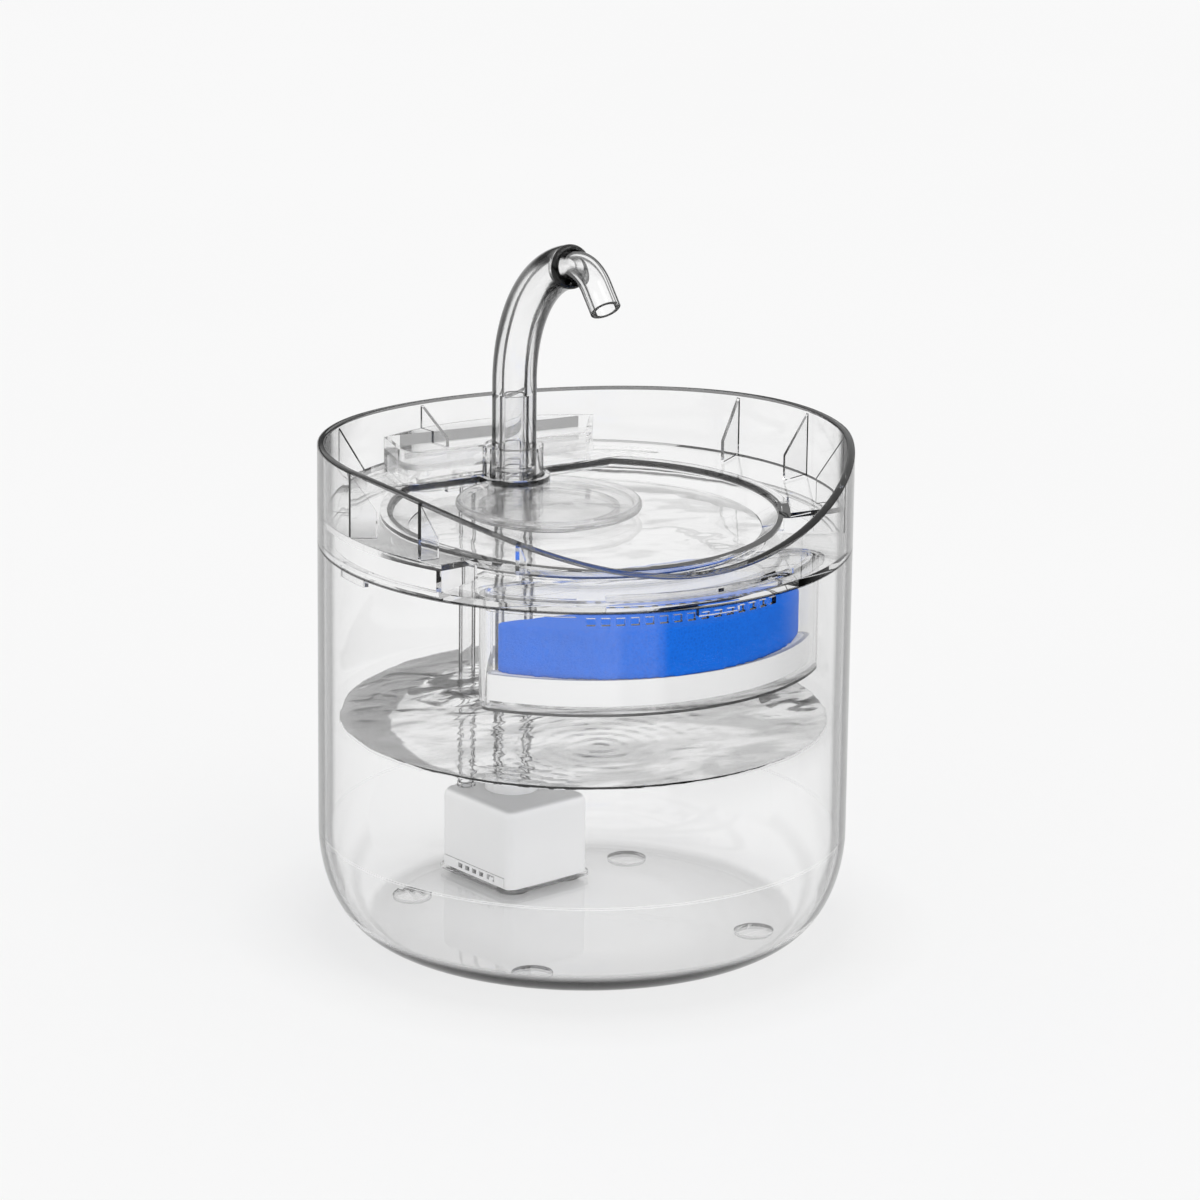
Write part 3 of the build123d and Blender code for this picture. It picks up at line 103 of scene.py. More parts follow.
# the outer face of the tank's lower curve, by how far it faces up, and how high the painted base shadow
# reaches on it
CURVE_FACING, CURVE_FACING_HALF = -0.64, 0.3
BASE_SHADOW_Z, BASE_SHADOW_FADE = 6.5 * MM, 4.5 * MM
# the painted base shadow is drawn only on the side that faces the view, fading in across this span along it
BASE_SHADOW_BACK, BASE_SHADOW_BLEND = -10.0 * MM, 40.0 * MM
# (distance from the axis as a share of SHADE_REACH, grey) of the painted shade on the tank's floor, in place
# of the shadow under the tank; the floor's top lies under FLOOR_TOP
SHADE_REACH = 85.0 * MM
FLOOR_TOP = 6.0 * MM
FLOOR_SHADE = [(0.0, 0.96), (0.4, 0.93), (0.78, 0.76), (0.80, 1.0)]
# the ring between the lid's deck and its wall, where the ribs and the rear platform stand
RING_RADIUS, RING_HALF = 73.2 * MM, 6.2 * MM
RIB_FOOT_Z = 136.3 * MM
PLATFORM_FRONT = 49.0 * MM
PLATFORM_Z, PLATFORM_HALF = 134.0 * MM, 6.6 * MM
SOCKET_PLACE = (0.0, 45.6 * MM, 0.0)
SOCKET_REACH = 13.0 * MM
TRAY_EDGE_Z = 133.2 * MM

# ---- drawer
DRAWER_RADIUS = 75.5 * MM
DRAWER_HALF = 57.1 * MM
DRAWER_TURN = math.radians(-4.5)
DRAWER_WALL = 2.5 * MM
DRAWER_FLOOR = 2.2 * MM
DRAWER_EDGE = 0.9 * MM
DRAWER_END = 0.7 * MM

# ---- faucet
BEND_BELOW_TOP = 34.0 * MM
BEND_BLEND = 24.0 * MM

# ---- how far a face turns up before it counts as level, as steep or as upright
LEVEL = 0.93
STEEP = 0.8
UPRIGHT = 0.5
# shifts of the painted dark edge tint: towards the edge on upright walls and the socket, away from it on the
# faucet's bend
UPRIGHT_SHIFT = 0.2
SOCKET_SHIFT = 0.3
BEND_SHIFT = -0.15

# ---- greys of drawn lines and painted shade: the seam is a dark joint; the rest are painted shade, painted dark edges and painted reflections on the water
GREY = {
    "seam": 0.12,
    "painted base shadow": 0.015,
    "lid rim": 0.07,
    "rib": 0.2,
    "tray edge": 0.08,
    "drawer edge": 0.06,
    "foot side": 0.45,
    "water rim": 0.9,
    "water shade": 0.38,
    "streak": 0.12,
}

# ---- water
WATER_Z = 70.0 * MM
WATER_SHEET = 0.9 * MM
WATER_RADIUS = 75.5 * MM
WATER_EDGE = 3.6 * MM
WATER_RINGS = 110
MENISCUS_RISE = 1.3 * MM
MENISCUS_STEPS = 8
RING_CENTRE = (-13.4 * MM, -33.8 * MM, 0.0)
RING_PITCH = 5.2 * MM
RING_HEIGHT = 0.10 * MM
RING_FADE = 24.0 * MM
SWELL_HEIGHT = 0.8 * MM
SWELL_SCALE = 62.0
CALM_EDGE = 5.0 * MM
CALM_ROUGHNESS = 0.55
# what is left of a ripple at its reach
FALL = 0.37
# (place, reach, strength) of the rougher water: round the riser, and at both sides under the drawer
ROUGH_WATER = [
    ((-19.0 * MM, 32.0 * MM, 0.0), 24.0 * MM, 3.2),
    ((-50.0 * MM, 52.0 * MM, 0.0), 26.0 * MM, 3.0),
    ((68.0 * MM, -22.0 * MM, 0.0), 18.0 * MM, 3.0),
]
# the round patch that mirrors the pale floor and is left untinted, with a painted dark reflection on the far
# side outside it
PALE_CENTRE = (16.3 * MM, -18.7 * MM, WATER_Z)
PALE_REACH = 82.3 * MM
# (place, reach) of the painted dark streaks, reflections where the water swirls: round the riser, and at the
# right under the drawer
SWIRLS = [((-24.0 * MM, 36.0 * MM, WATER_Z), 17.0 * MM), ((66.0 * MM, -22.0 * MM, WATER_Z), 13.0 * MM)]
STREAK_TURN = math.radians(-48)

# ---- pump
PUMP_PLACE = Vector((-0.6 * MM, 42.7 * MM, 0.0))
PUMP_TURN = math.radians(10.0)
WIRE_RADIUS = 0.3 * MM
WIRE_CORNER = 0.45 * MM

# ---- filter media
SPONGE_LENGTH = 0.93
FOAM_VOXEL = 0.9 * MM
FOAM_PORE = 0.06 * MM
FOAM_CELLS = 620.0
PAD_VOXEL = 0.55 * MM
PAD_FLUFF = 0.10 * MM
PAD_CELLS = 900.0
GRANULE = 0.85 * MM
GRAINS_PER_M3 = 6.0e8
GRAIN_SEED = 7


# ---------------------------------------------------------------- node helpers
def new_finish(name):
    """An empty material with one Principled shader, and its tree."""
    material = bpy.data.materials.new(name)
    material.use_nodes = True
    tree = material.node_tree
    return material, tree, tree.nodes["Principled BSDF"]


def add(tree, kind, **settings):
    node = tree.nodes.new(kind)
    for key, value in settings.items():
        setattr(node, key, value)
    return node


def feed(tree, value, socket):
    """Links a socket to another one, or sets it to a constant."""
    if isinstance(value, bpy.types.NodeSocket):
        tree.links.new(value, socket)
    else:
        socket.default_value = value


def math_node(tree, operation, a, b=0.0, c=0.0, clamp=False):
    """One sum, whose terms are sockets or numbers."""
    node = add(tree, "ShaderNodeMath", operation=operation, use_clamp=clamp)
    for socket, term in zip(node.inputs, (a, b, c)):
        feed(tree, term, socket)
    return node.outputs["Value"]


def vector_node(tree, operation, a, b=(0, 0, 0)):
    """One vector sum, whose terms are sockets or tuples."""
    node = add(tree, "ShaderNodeVectorMath", operation=operation)
    for socket, term in zip(node.inputs, (a, b)):
        feed(tree, term, socket)
    single = operation in ("LENGTH", "DISTANCE", "DOT_PRODUCT")
    return node.outputs["Value" if single else "Vector"]


def all_of(tree, mask, *others):
    """Where several 0 to 1 masks hold together."""
    for other in others:
        mask = math_node(tree, "MULTIPLY", mask, other)
    return mask


def none_of(tree, mask):
    """The opposite of a 0 to 1 mask."""
    return math_node(tree, "SUBTRACT", 1.0, mask)


def parts_of(tree, vector):
    """A vector's X, Y and Z."""
    node = add(tree, "ShaderNodeSeparateXYZ")
    tree.links.new(vector, node.inputs["Vector"])
    return node.outputs


def object_coords(tree, scale=(1, 1, 1)):
    coords = add(tree, "ShaderNodeTexCoord")
    mapping = add(tree, "ShaderNodeMapping")
    mapping.inputs["Scale"].default_value = scale
    tree.links.new(coords.outputs["Object"], mapping.inputs["Vector"])
    return mapping.outputs["Vector"]


def noise(tree, vector, scale, detail=3.0, roughness=0.5, distortion=0.0):
    node = add(tree, "ShaderNodeTexNoise")
    feed(tree, scale, node.inputs["Scale"])
    node.inputs["Detail"].default_value = detail
    node.inputs["Roughness"].default_value = roughness
    node.inputs["Distortion"].default_value = distortion
    tree.links.new(vector, node.inputs["Vector"])
    return node.outputs["Fac"]


def ramp(tree, value, stops):
    """A colour ramp from (position, grey or colour) stops."""
    node = add(tree, "ShaderNodeValToRGB")
    elements = node.color_ramp.elements
    while len(elements) < len(stops):
        elements.new(0.5)
    for element, (position, colour) in zip(elements, stops):
        element.position = position
        grey = isinstance(colour, (int, float))
        element.color = (colour, colour, colour, 1) if grey else (*colour, 1)
    tree.links.new(value, node.inputs["Fac"])
    return node.outputs["Color"]


def chosen(tree, factor, low, high):
    """One of two colours or greys, by a 0 to 1 value."""
    node = add(tree, "ShaderNodeMix", data_type="RGBA")
    tree.links.new(factor, node.inputs["Factor"])
    for socket, colour in ((node.inputs["A"], low), (node.inputs["B"], high)):
        feed(tree, (colour, colour, colour, 1) if isinstance(colour, float) else colour, socket)
    return node.outputs["Result"]


def multiply(tree, a, b):
    node = add(tree, "ShaderNodeMix", data_type="RGBA", blend_type="MULTIPLY")
    node.inputs["Factor"].default_value = 1.0
    tree.links.new(a, node.inputs["A"])
    tree.links.new(b, node.inputs["B"])
    return node.outputs["Result"]


def span(tree, value, low, high):
    """A 0 to 1 value stretched between two others."""
    node = add(tree, "ShaderNodeMapRange")
    node.inputs["To Min"].default_value = low
    node.inputs["To Max"].default_value = high
    tree.links.new(value, node.inputs["Value"])
    return node.outputs["Result"]


def soft_step(tree, value, start, width):
    """A value that goes from 0 to 1 past a place."""
    node = add(tree, "ShaderNodeMapRange", interpolation_type="SMOOTHSTEP")
    tree.links.new(value, node.inputs["Value"])
    node.inputs["From Min"].default_value = start
    node.inputs["From Max"].default_value = start + width
    return node.outputs["Result"]


def bump(tree, shader, height, strength, distance):
    node = add(tree, "ShaderNodeBump")
    node.inputs["Strength"].default_value = strength
    node.inputs["Distance"].default_value = distance
    tree.links.new(height, node.inputs["Height"])
    tree.links.new(node.outputs["Normal"], shader.inputs["Normal"])


def pass_light(tree, shader, thin):
    """Light for what lies behind a clear piece goes straight through, as all rays do where it is thin."""
    path = add(tree, "ShaderNodeLightPath")
    lit = math_node(tree, "MAXIMUM", path.outputs["Is Shadow Ray"], path.outputs["Is Diffuse Ray"])
    through = add(tree, "ShaderNodeBsdfTransparent")
    through.inputs["Color"].default_value = (0.985, 0.985, 0.985, 1)
    mix = add(tree, "ShaderNodeMixShader")
    tree.links.new(math_node(tree, "MAXIMUM", lit, thin), mix.inputs["Fac"])
    tree.links.new(shader.outputs["BSDF"], mix.inputs[1])
    tree.links.new(through.outputs["BSDF"], mix.inputs[2])
    tree.links.new(mix.outputs["Shader"], tree.nodes["Material Output"].inputs["Surface"])


# ---------------------------------------------------------------- places on a surface
def from_axis(tree, vector):
    """A point's distance from the fountain's axis."""
    return vector_node(tree, "LENGTH", vector_node(tree, "MULTIPLY", vector, (1, 1, 0)))


def unbumped_normal(tree):
    return add(tree, "ShaderNodeNewGeometry").outputs["Normal"]


def upward(tree):
    """How far a face turns up, from -1 to 1."""
    return parts_of(tree, unbumped_normal(tree))["Z"]


def upright_faces(tree):
    return math_node(tree, "LESS_THAN", math_node(tree, "ABSOLUTE", upward(tree)), UPRIGHT)


def drawn_line(tree, value, place, half, grey):
    """A thin tinted line where a value passes a place, such as a seam seen edge on."""
    return chosen(tree, math_node(tree, "COMPARE", value, place, half), 1.0, grey)


# ---------------------------------------------------------------- clear finishes
def clear_finish(name, edge_stops, ior, smear, flow_scale, flow_depth, lines=None):
    """Polished clear moulding with painted dark edges, its colour darker at grazing angles in place of the
    dark surroundings seen through the edges, with a faint flow that bends what is behind it.

    lines(tree, vector, facing) gives the facing value to tint by, further tints, how thin the piece looks and
    how clear it is.
    """
    material, tree, shader = new_finish(name)
    vector = object_coords(tree)
    facing = add(tree, "ShaderNodeLayerWeight")
    facing.inputs["Blend"].default_value = 0.5
    turned = facing.outputs["Facing"]
    tints, thin, clear = [], 0.0, 1.0
    if lines:
        turned, tints, thin, clear = lines(tree, vector, turned)
    colour = ramp(tree, turned, edge_stops)
    clouds = ramp(tree, noise(tree, vector, 18.0), [(0.3, 0.985), (0.7, 1.0)])
    for tint in [clouds, *tints]:
        colour = multiply(tree, colour, tint)
    tree.links.new(colour, shader.inputs["Base Color"])
    tree.links.new(ramp(tree, turned, EDGE_SHINE), shader.inputs["Specular Tint"])
    shader.inputs["IOR"].default_value = ior
    feed(tree, clear, shader.inputs["Transmission Weight"])
    tree.links.new(span(tree, noise(tree, vector, 60.0, 2.0), 0.0, smear), shader.inputs["Roughness"])
    bump(tree, shader, noise(tree, vector, flow_scale, 2.0, 0.4), 1.0, flow_depth)
    pass_light(tree, shader, thin)
    return material


def tank_lines(tree, vector, facing):
    """The seam, a painted highlight line where the lower curve starts, a painted dark shadow along the base
    on the side that faces the view, and painted shade on the floor.
    """
    height = parts_of(tree, vector)["Z"]
    seam = drawn_line(tree, height, SEAM_Z, SEAM_HALF, GREY["seam"])
    share = math_node(tree, "DIVIDE", from_axis(tree, vector), SHADE_REACH)
    above_floor = math_node(tree, "GREATER_THAN", height, FLOOR_TOP)
    # painted shade on the tank's floor
    shade = chosen(tree, above_floor, ramp(tree, share, FLOOR_SHADE), 1.0)
    # painted shadow along the base, on the front only, nearly opaque
    toward = vector_node(tree, "DOT_PRODUCT", vector, TOWARD_VIEW)
    front = soft_step(tree, toward, BASE_SHADOW_BACK, BASE_SHADOW_BLEND)
    outer = math_node(tree, "COMPARE", upward(tree), CURVE_FACING, CURVE_FACING_HALF)
    low = none_of(tree, soft_step(tree, height, BASE_SHADOW_Z, BASE_SHADOW_FADE))
    painted_base_shadow = all_of(tree, front, outer, low)
    # painted highlight: a pale, partly opaque line where the lower curve starts
    curve = math_node(tree, "COMPARE", height, CURVE_Z, CURVE_HIGHLIGHT_HALF)
    opaque = math_node(tree, "MAXIMUM", all_of(tree, curve, 0.6), all_of(tree, painted_base_shadow, 0.97))
    turned = math_node(tree, "MULTIPLY_ADD", upright_faces(tree), UPRIGHT_SHIFT, facing)
    return turned, [seam, chosen(tree, painted_base_shadow, 1.0, GREY["painted base shadow"]), shade], 0.0, none_of(tree, opaque)


def lid_lines(tree, vector, facing):
    """The seam at the lid's foot, and painted dark edges along its rounded rim and its ribs, in place of dark
    surroundings seen through them; the platform and the back are drawn thin.
    """
    place = parts_of(tree, vector)
    height, radius = place["Z"], from_axis(tree, vector)
    up, upright = upward(tree), upright_faces(tree)
    wall = math_node(tree, "GREATER_THAN", radius, TANK_RADIUS - WALL)
    foot = math_node(tree, "LESS_THAN", height, SEAM_Z + LID_FOOT)
    rounded = math_node(tree, "GREATER_THAN", up, 0.15)
    rim = all_of(tree, math_node(tree, "MAXIMUM", foot, rounded), wall)

    across = parts_of(tree, vector_node(tree, "CROSS_PRODUCT", vector, unbumped_normal(tree)))["Z"]
    sideways = math_node(tree, "DIVIDE", math_node(tree, "ABSOLUTE", across), radius)
    end_face = math_node(tree, "LESS_THAN", sideways, 0.4)
    steep = math_node(tree, "LESS_THAN", up, LEVEL)
    in_ring = math_node(tree, "COMPARE", radius, RING_RADIUS, RING_HALF)
    above_deck = math_node(tree, "GREATER_THAN", height, RIB_FOOT_Z)
    rib_edge = all_of(tree, end_face, steep, in_ring, above_deck)
    platform = all_of(tree, math_node(tree, "GREATER_THAN", up, LEVEL), in_ring, above_deck)

    from_socket = from_axis(tree, vector_node(tree, "SUBTRACT", vector, SOCKET_PLACE))
    socket = all_of(tree, upright, math_node(tree, "LESS_THAN", from_socket, SOCKET_REACH))
    turned = math_node(tree, "MULTIPLY_ADD", socket, SOCKET_SHIFT, facing)
    turned = math_node(tree, "MULTIPLY_ADD", all_of(tree, upright, wall), UPRIGHT_SHIFT, turned)
    clear_of_socket = math_node(tree, "GREATER_THAN", from_socket, SOCKET_REACH)
    at_back = all_of(
        tree,
        math_node(tree, "GREATER_THAN", place["Y"], PLATFORM_FRONT),
        math_node(tree, "COMPARE", height, PLATFORM_Z, PLATFORM_HALF),
        math_node(tree, "SUBTRACT", clear_of_socket, wall),
    )
    thin = math_node(tree, "MAXIMUM", all_of(tree, platform, 0.8), all_of(tree, at_back, 0.55))
    # the rim tint is the seam's dark joint at the lid's foot and a painted dark edge on the rounded top; the
    # rib tint is a painted dark edge
    tints = [chosen(tree, rim, 1.0, GREY["lid rim"]), chosen(tree, rib_edge, 1.0, GREY["rib"])]
    return turned, tints, thin, 1.0


def tray_lines(tree, vector, facing):
    """A painted dark edge line along the tray's raised edge, in place of dark surroundings seen through it.
    """
    top = math_node(tree, "GREATER_THAN", parts_of(tree, vector)["Z"], TRAY_EDGE_Z)
    steep = math_node(tree, "LESS_THAN", math_node(tree, "ABSOLUTE", upward(tree)), STEEP)
    return facing, [chosen(tree, all_of(tree, top, steep), 1.0, GREY["tray edge"])], 0.0, 1.0


def drawer_lines(tree, vector, facing):
    """The drawer's slotted floor is thin and hardly seen behind the painted dark line of its outer edge and
    ends, in place of dark surroundings seen through them.
    """
    height = parts_of(tree, vector)["Z"]
    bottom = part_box("filter_box")[0].z
    floor = math_node(tree, "LESS_THAN", height, bottom + DRAWER_FLOOR)
    inner = math_node(tree, "LESS_THAN", from_axis(tree, vector), DRAWER_RADIUS - DRAWER_WALL)
    lowest = math_node(tree, "LESS_THAN", height, bottom + DRAWER_EDGE)
    length = (math.cos(DRAWER_TURN), math.sin(DRAWER_TURN), 0)
    along = math_node(tree, "ABSOLUTE", vector_node(tree, "DOT_PRODUCT", vector, length))
    ends = math_node(tree, "GREATER_THAN", along, DRAWER_HALF - DRAWER_END)
    edge = math_node(tree, "MAXIMUM", all_of(tree, lowest, none_of(tree, inner)), ends)
    thin = all_of(tree, floor, inner, 0.85)
    clear = math_node(tree, "MULTIPLY_ADD", edge, -0.5, 1.0)
    return facing, [chosen(tree, edge, 1.0, GREY["drawer edge"])], thin, clear


def tube_lines(tree, vector, facing):
    """The faucet's bend is seen nearly along the tube, so its edge tint starts later there."""
    bend = soft_step(tree, parts_of(tree, vector)["Z"], CAD_HIGH.z - BEND_BELOW_TOP, BEND_BLEND)
    return math_node(tree, "MULTIPLY_ADD", bend, BEND_SHIFT, facing), [], 0.0, 1.0


def thin_sheet(tree, vector, facing):
    """A thin clear sheet, which bends what is behind it less than a thick one."""
    return facing, [], 0.3, 1.0


def foot_lines(tree, vector, facing):
    """A soft clear foot, seen by its sides, which are painted darker as shade; its flat faces are drawn thin.
    """
    flat = math_node(tree, "GREATER_THAN", math_node(tree, "ABSOLUTE", upward(tree)), 0.7)
    return facing, [chosen(tree, flat, GREY["foot side"], 1.0)], flat, 1.0


def water_lines(tree, vector, facing):
    """Painted reflections on the water: a line at its edge, painted shade on its far side, soft darker
    patches, and dark streaks where it swirls.
    """
    wobble = math_node(tree, "SUBTRACT", noise(tree, vector, 70.0, 4.0, 0.6), 0.5)
    edge = math_node(tree, "MULTIPLY_ADD", wobble, 2.5 * MM, from_axis(tree, vector))
    rim = drawn_line(tree, edge, WATER_RADIUS, 0.5 * MM, GREY["water rim"])
    from_pale = vector_node(tree, "DISTANCE", vector, PALE_CENTRE)
    from_pale = math_node(tree, "MULTIPLY_ADD", wobble, 9 * MM, from_pale)
    shade = chosen(tree, soft_step(tree, from_pale, PALE_REACH, 1.2 * MM), 1.0, GREY["water shade"])
    banks = noise(tree, vector_node(tree, "MULTIPLY", vector, (1.0, 2.2, 1.0)), 24.0, 3.0, 0.55, 0.8)
    banks = ramp(tree, banks, [(0.42, 0.66), (0.5, 0.84), (0.57, 0.98)])
    streaks = add(tree, "ShaderNodeMapping")
    streaks.inputs["Rotation"].default_value = (0, 0, STREAK_TURN)
    streaks.inputs["Scale"].default_value = (0.35, 1.0, 1.0)
    tree.links.new(vector, streaks.inputs["Vector"])
    swirl = ramp(tree, noise(tree, streaks.outputs["Vector"], 190.0, 2.0), [(0.5, 0.0), (0.54, 1.0)])
    near = 0.0
    for place, reach in SWIRLS:
        within = math_node(tree, "LESS_THAN", vector_node(tree, "DISTANCE", vector, place), reach)
        near = math_node(tree, "MAXIMUM", near, within)
    swirled = chosen(tree, all_of(tree, swirl, near), 1.0, GREY["streak"])
    # The underside turns see-through further in, so that no slanting ray meets it as a mirror.
    underside = math_node(tree, "LESS_THAN", upward(tree), 0.0)
    reached = math_node(tree, "MULTIPLY_ADD", underside, 3.2 * MM, edge)
    outside = math_node(tree, "GREATER_THAN", reached, WATER_RADIUS + 0.2 * MM)
    return facing, [rim, shade, banks, swirled], outside, 1.0


# ---------------------------------------------------------------- other finishes
def white_plastic(name, low, high):
    """Satin white moulding in two close tones, with painted shade on the faces that look up."""
    material, tree, shader = new_finish(name)
    vector = object_coords(tree)
    tone = ramp(tree, noise(tree, vector, 35.0, 4.0), [(0.3, low), (0.7, high)])
    # painted shade: the faces that look up are drawn greyer
    painted_top_shade = chosen(tree, soft_step(tree, upward(tree), 0.55, 0.4), 1.0, 0.5)
    tree.links.new(multiply(tree, tone, painted_top_shade), shader.inputs["Base Color"])
    tree.links.new(span(tree, noise(tree, vector, 90.0), 0.38, 0.5), shader.inputs["Roughness"])
    bump(tree, shader, noise(tree, vector, 1400.0, 2.0), 0.25, 0.04 * MM)
    return material


def blue_foam():
    """Open-cell foam: painted shade in the pores, darker than the pale cell walls."""
    material, tree, shader = new_finish("blue_open_cell_foam")
    vector = object_coords(tree)
    cells = add(tree, "ShaderNodeTexVoronoi", feature="DISTANCE_TO_EDGE")
    cells.inputs["Scale"].default_value = 900.0
    tree.links.new(vector, cells.inputs["Vector"])
    pore_shade = ramp(
        tree,
        cells.outputs["Distance"],
        [(0.0, (0.004, 0.19, 0.92)), (0.12, (0.002, 0.165, 0.85)), (0.5, (0.001, 0.13, 0.74))],
    )
    patches = ramp(tree, noise(tree, vector, 55.0, 4.0), [(0.3, 0.9), (0.7, 1.0)])
    tree.links.new(multiply(tree, pore_shade, patches), shader.inputs["Base Color"])
    shader.inputs["Roughness"].default_value = 0.9
    shader.inputs["Specular IOR Level"].default_value = 0.15
    bump(tree, shader, cells.outputs["Distance"], 0.4, 0.3 * MM)
    return material


def white_cotton():
    """Pressed cotton felt with fine fibres."""
    material, tree, shader = new_finish("pressed_cotton")
    vector = object_coords(tree)
    fibres = noise(tree, object_coords(tree, (1, 1, 3)), 900.0, 6.0, 0.7, 2.5)
    tone = ramp(tree, fibres, [(0.3, (0.78, 0.78, 0.77)), (0.7, (0.93, 0.93, 0.92))])
    felt = ramp(tree, noise(tree, vector, 60.0), [(0.3, 0.95), (0.7, 1.0)])
    tree.links.new(multiply(tree, tone, felt), shader.inputs["Base Color"])
    shader.inputs["Roughness"].default_value = 0.95
    shader.inputs["Sheen Weight"].default_value = 0.3
    bump(tree, shader, fibres, 0.5, 0.3 * MM)
    return material


def dark_finish(name, low, high, scale, metal, rough, depth):
    """Any opaque dark or metal finish: two tones in a noise pattern, with a matching relief."""
    material, tree, shader = new_finish(name)
    vector = object_coords(tree)
    pattern = noise(tree, vector, scale, 4.0)
    tree.links.new(ramp(tree, pattern, [(0.35, low), (0.65, high)]), shader.inputs["Base Color"])
    shader.inputs["Metallic"].default_value = metal
    tree.links.new(span(tree, pattern, rough * 0.85, rough * 1.15), shader.inputs["Roughness"])
    bump(tree, shader, pattern, 0.5, depth)
    return material


def laminations():
    """Thin stacked steel sheets, seen as fine level lines."""
    material, tree, shader = new_finish("stacked_steel")
    vector = object_coords(tree)
    sheets = add(tree, "ShaderNodeTexWave", wave_type="BANDS", bands_direction="Z")
    sheets.inputs["Scale"].default_value = 320.0
    tree.links.new(vector, sheets.inputs["Vector"])
    tree.links.new(
        ramp(tree, sheets.outputs["Fac"], [(0.1, (0.08, 0.08, 0.085)), (0.5, (0.38, 0.38, 0.40))]),
        shader.inputs["Base Color"],
    )
    shader.inputs["Metallic"].default_value = 1.0
    shader.inputs["Roughness"].default_value = 0.42
    bump(tree, shader, sheets.outputs["Fac"], 0.6, 0.2 * MM)
    return material


# ---------------------------------------------------------------- the fountain's finishes
# (facing value, grey): 0 is seen square on, 1 is seen edge on; the greys are painted dark edges, in place of
# dark surroundings seen through the clear pieces
EDGE_SHINE = [(0.90, 1.0), (0.985, 0.12)]
WALL_EDGE = [(0.0, 0.999), (0.74, 0.985), (0.85, 0.95), (0.94, 0.87), (0.985, 0.3), (1.0, 0.1)]
BOX_EDGE = [(0.0, 0.999), (0.80, 0.98), (0.90, 0.35), (0.95, 0.05)]
DISC_EDGE = [(0.0, 0.999), (0.84, 0.97), (0.97, 0.5)]
TUBE_EDGE = [(0.0, 0.999), (0.40, 0.985), (0.46, 0.06), (0.52, 0.002)]
SOFT_EDGE = [(0.0, 0.99), (0.78, 0.93), (0.95, 0.3)]
WATER_FACE = [(0.0, 1.0), (0.60, 0.99), (0.69, 0.89), (0.75, 0.62), (0.84, 0.3)]

CLEAR_WALL = clear_finish("clear_tank_plastic", WALL_EDGE, 1.47, 0.006, 14.0, 0.12 * MM, tank_lines)
CLEAR_LID = clear_finish("clear_lid_plastic", WALL_EDGE, 1.47, 0.006, 30.0, 0.12 * MM, lid_lines)
CLEAR_TRAY = clear_finish("clear_tray_plastic", WALL_EDGE, 1.47, 0.01, 45.0, 0.4 * MM, tray_lines)
CLEAR_DISC = clear_finish("clear_disc_plastic", DISC_EDGE, 1.35, 0.01, 45.0, 0.3 * MM, thin_sheet)
CLEAR_BOX = clear_finish("clear_drawer_plastic", BOX_EDGE, 1.47, 0.006, 30.0, 0.1 * MM, drawer_lines)
CLEAR_PLATE = clear_finish("clear_base_plate", DISC_EDGE, 1.2, 0.006, 30.0, 0.1 * MM, thin_sheet)
CLEAR_FOOT = clear_finish("clear_foot_silicone", SOFT_EDGE, 1.02, 0.05, 120.0, 0.1 * MM, foot_lines)
CLEAR_TUBE = clear_finish("clear_tube_plastic", TUBE_EDGE, 1.47, 0.004, 40.0, 0.05 * MM, tube_lines)
CLEAR_SILICONE = clear_finish("clear_silicone", SOFT_EDGE, 1.41, 0.16, 120.0, 0.1 * MM)
WATER = clear_finish("still_water", WATER_FACE, 1.33, 0.002, 90.0, 0.2 * MM, water_lines)
# two copies of one white plastic, set for light: the pump's greyer tone is painted shade, the frame's lighter
# tone makes up for light lost through the clear walls
WHITE = white_plastic("satin_white_shaded_moulding", (0.86, 0.863, 0.866), (0.895, 0.895, 0.895))
WHITE_FRAME = white_plastic("satin_white_lit_frame", (0.955, 0.957, 0.96), (0.98, 0.98, 0.98))
FOAM = blue_foam()
COTTON = white_cotton()
CARBON = dark_finish("activated_carbon", (0.008,) * 3, (0.05,) * 3, 700.0, 0.0, 0.6, 0.6 * MM)
RUBBER = dark_finish("moulded_rubber", (0.015,) * 3, (0.035,) * 3, 300.0, 0.0, 0.7, 0.1 * MM)
FERRITE = dark_finish("sintered_ferrite", (0.05, 0.05, 0.055), (0.12, 0.12, 0.13), 900.0, 0.2, 0.6, 0.1 * MM)
STEEL = dark_finish("ground_steel", (0.55, 0.55, 0.56), (0.72, 0.72, 0.72), 1500.0, 1.0, 0.25, 0.02 * MM)
COPPER = dark_finish("enamelled_copper", (0.45, 0.16, 0.05), (0.72, 0.33, 0.13), 500.0, 1.0, 0.3, 0.03 * MM)
BOARD = dark_finish("circuit_board", (0.02, 0.16, 0.07), (0.05, 0.27, 0.13), 260.0, 0.0, 0.45, 0.05 * MM)
LAMINATED = laminations()

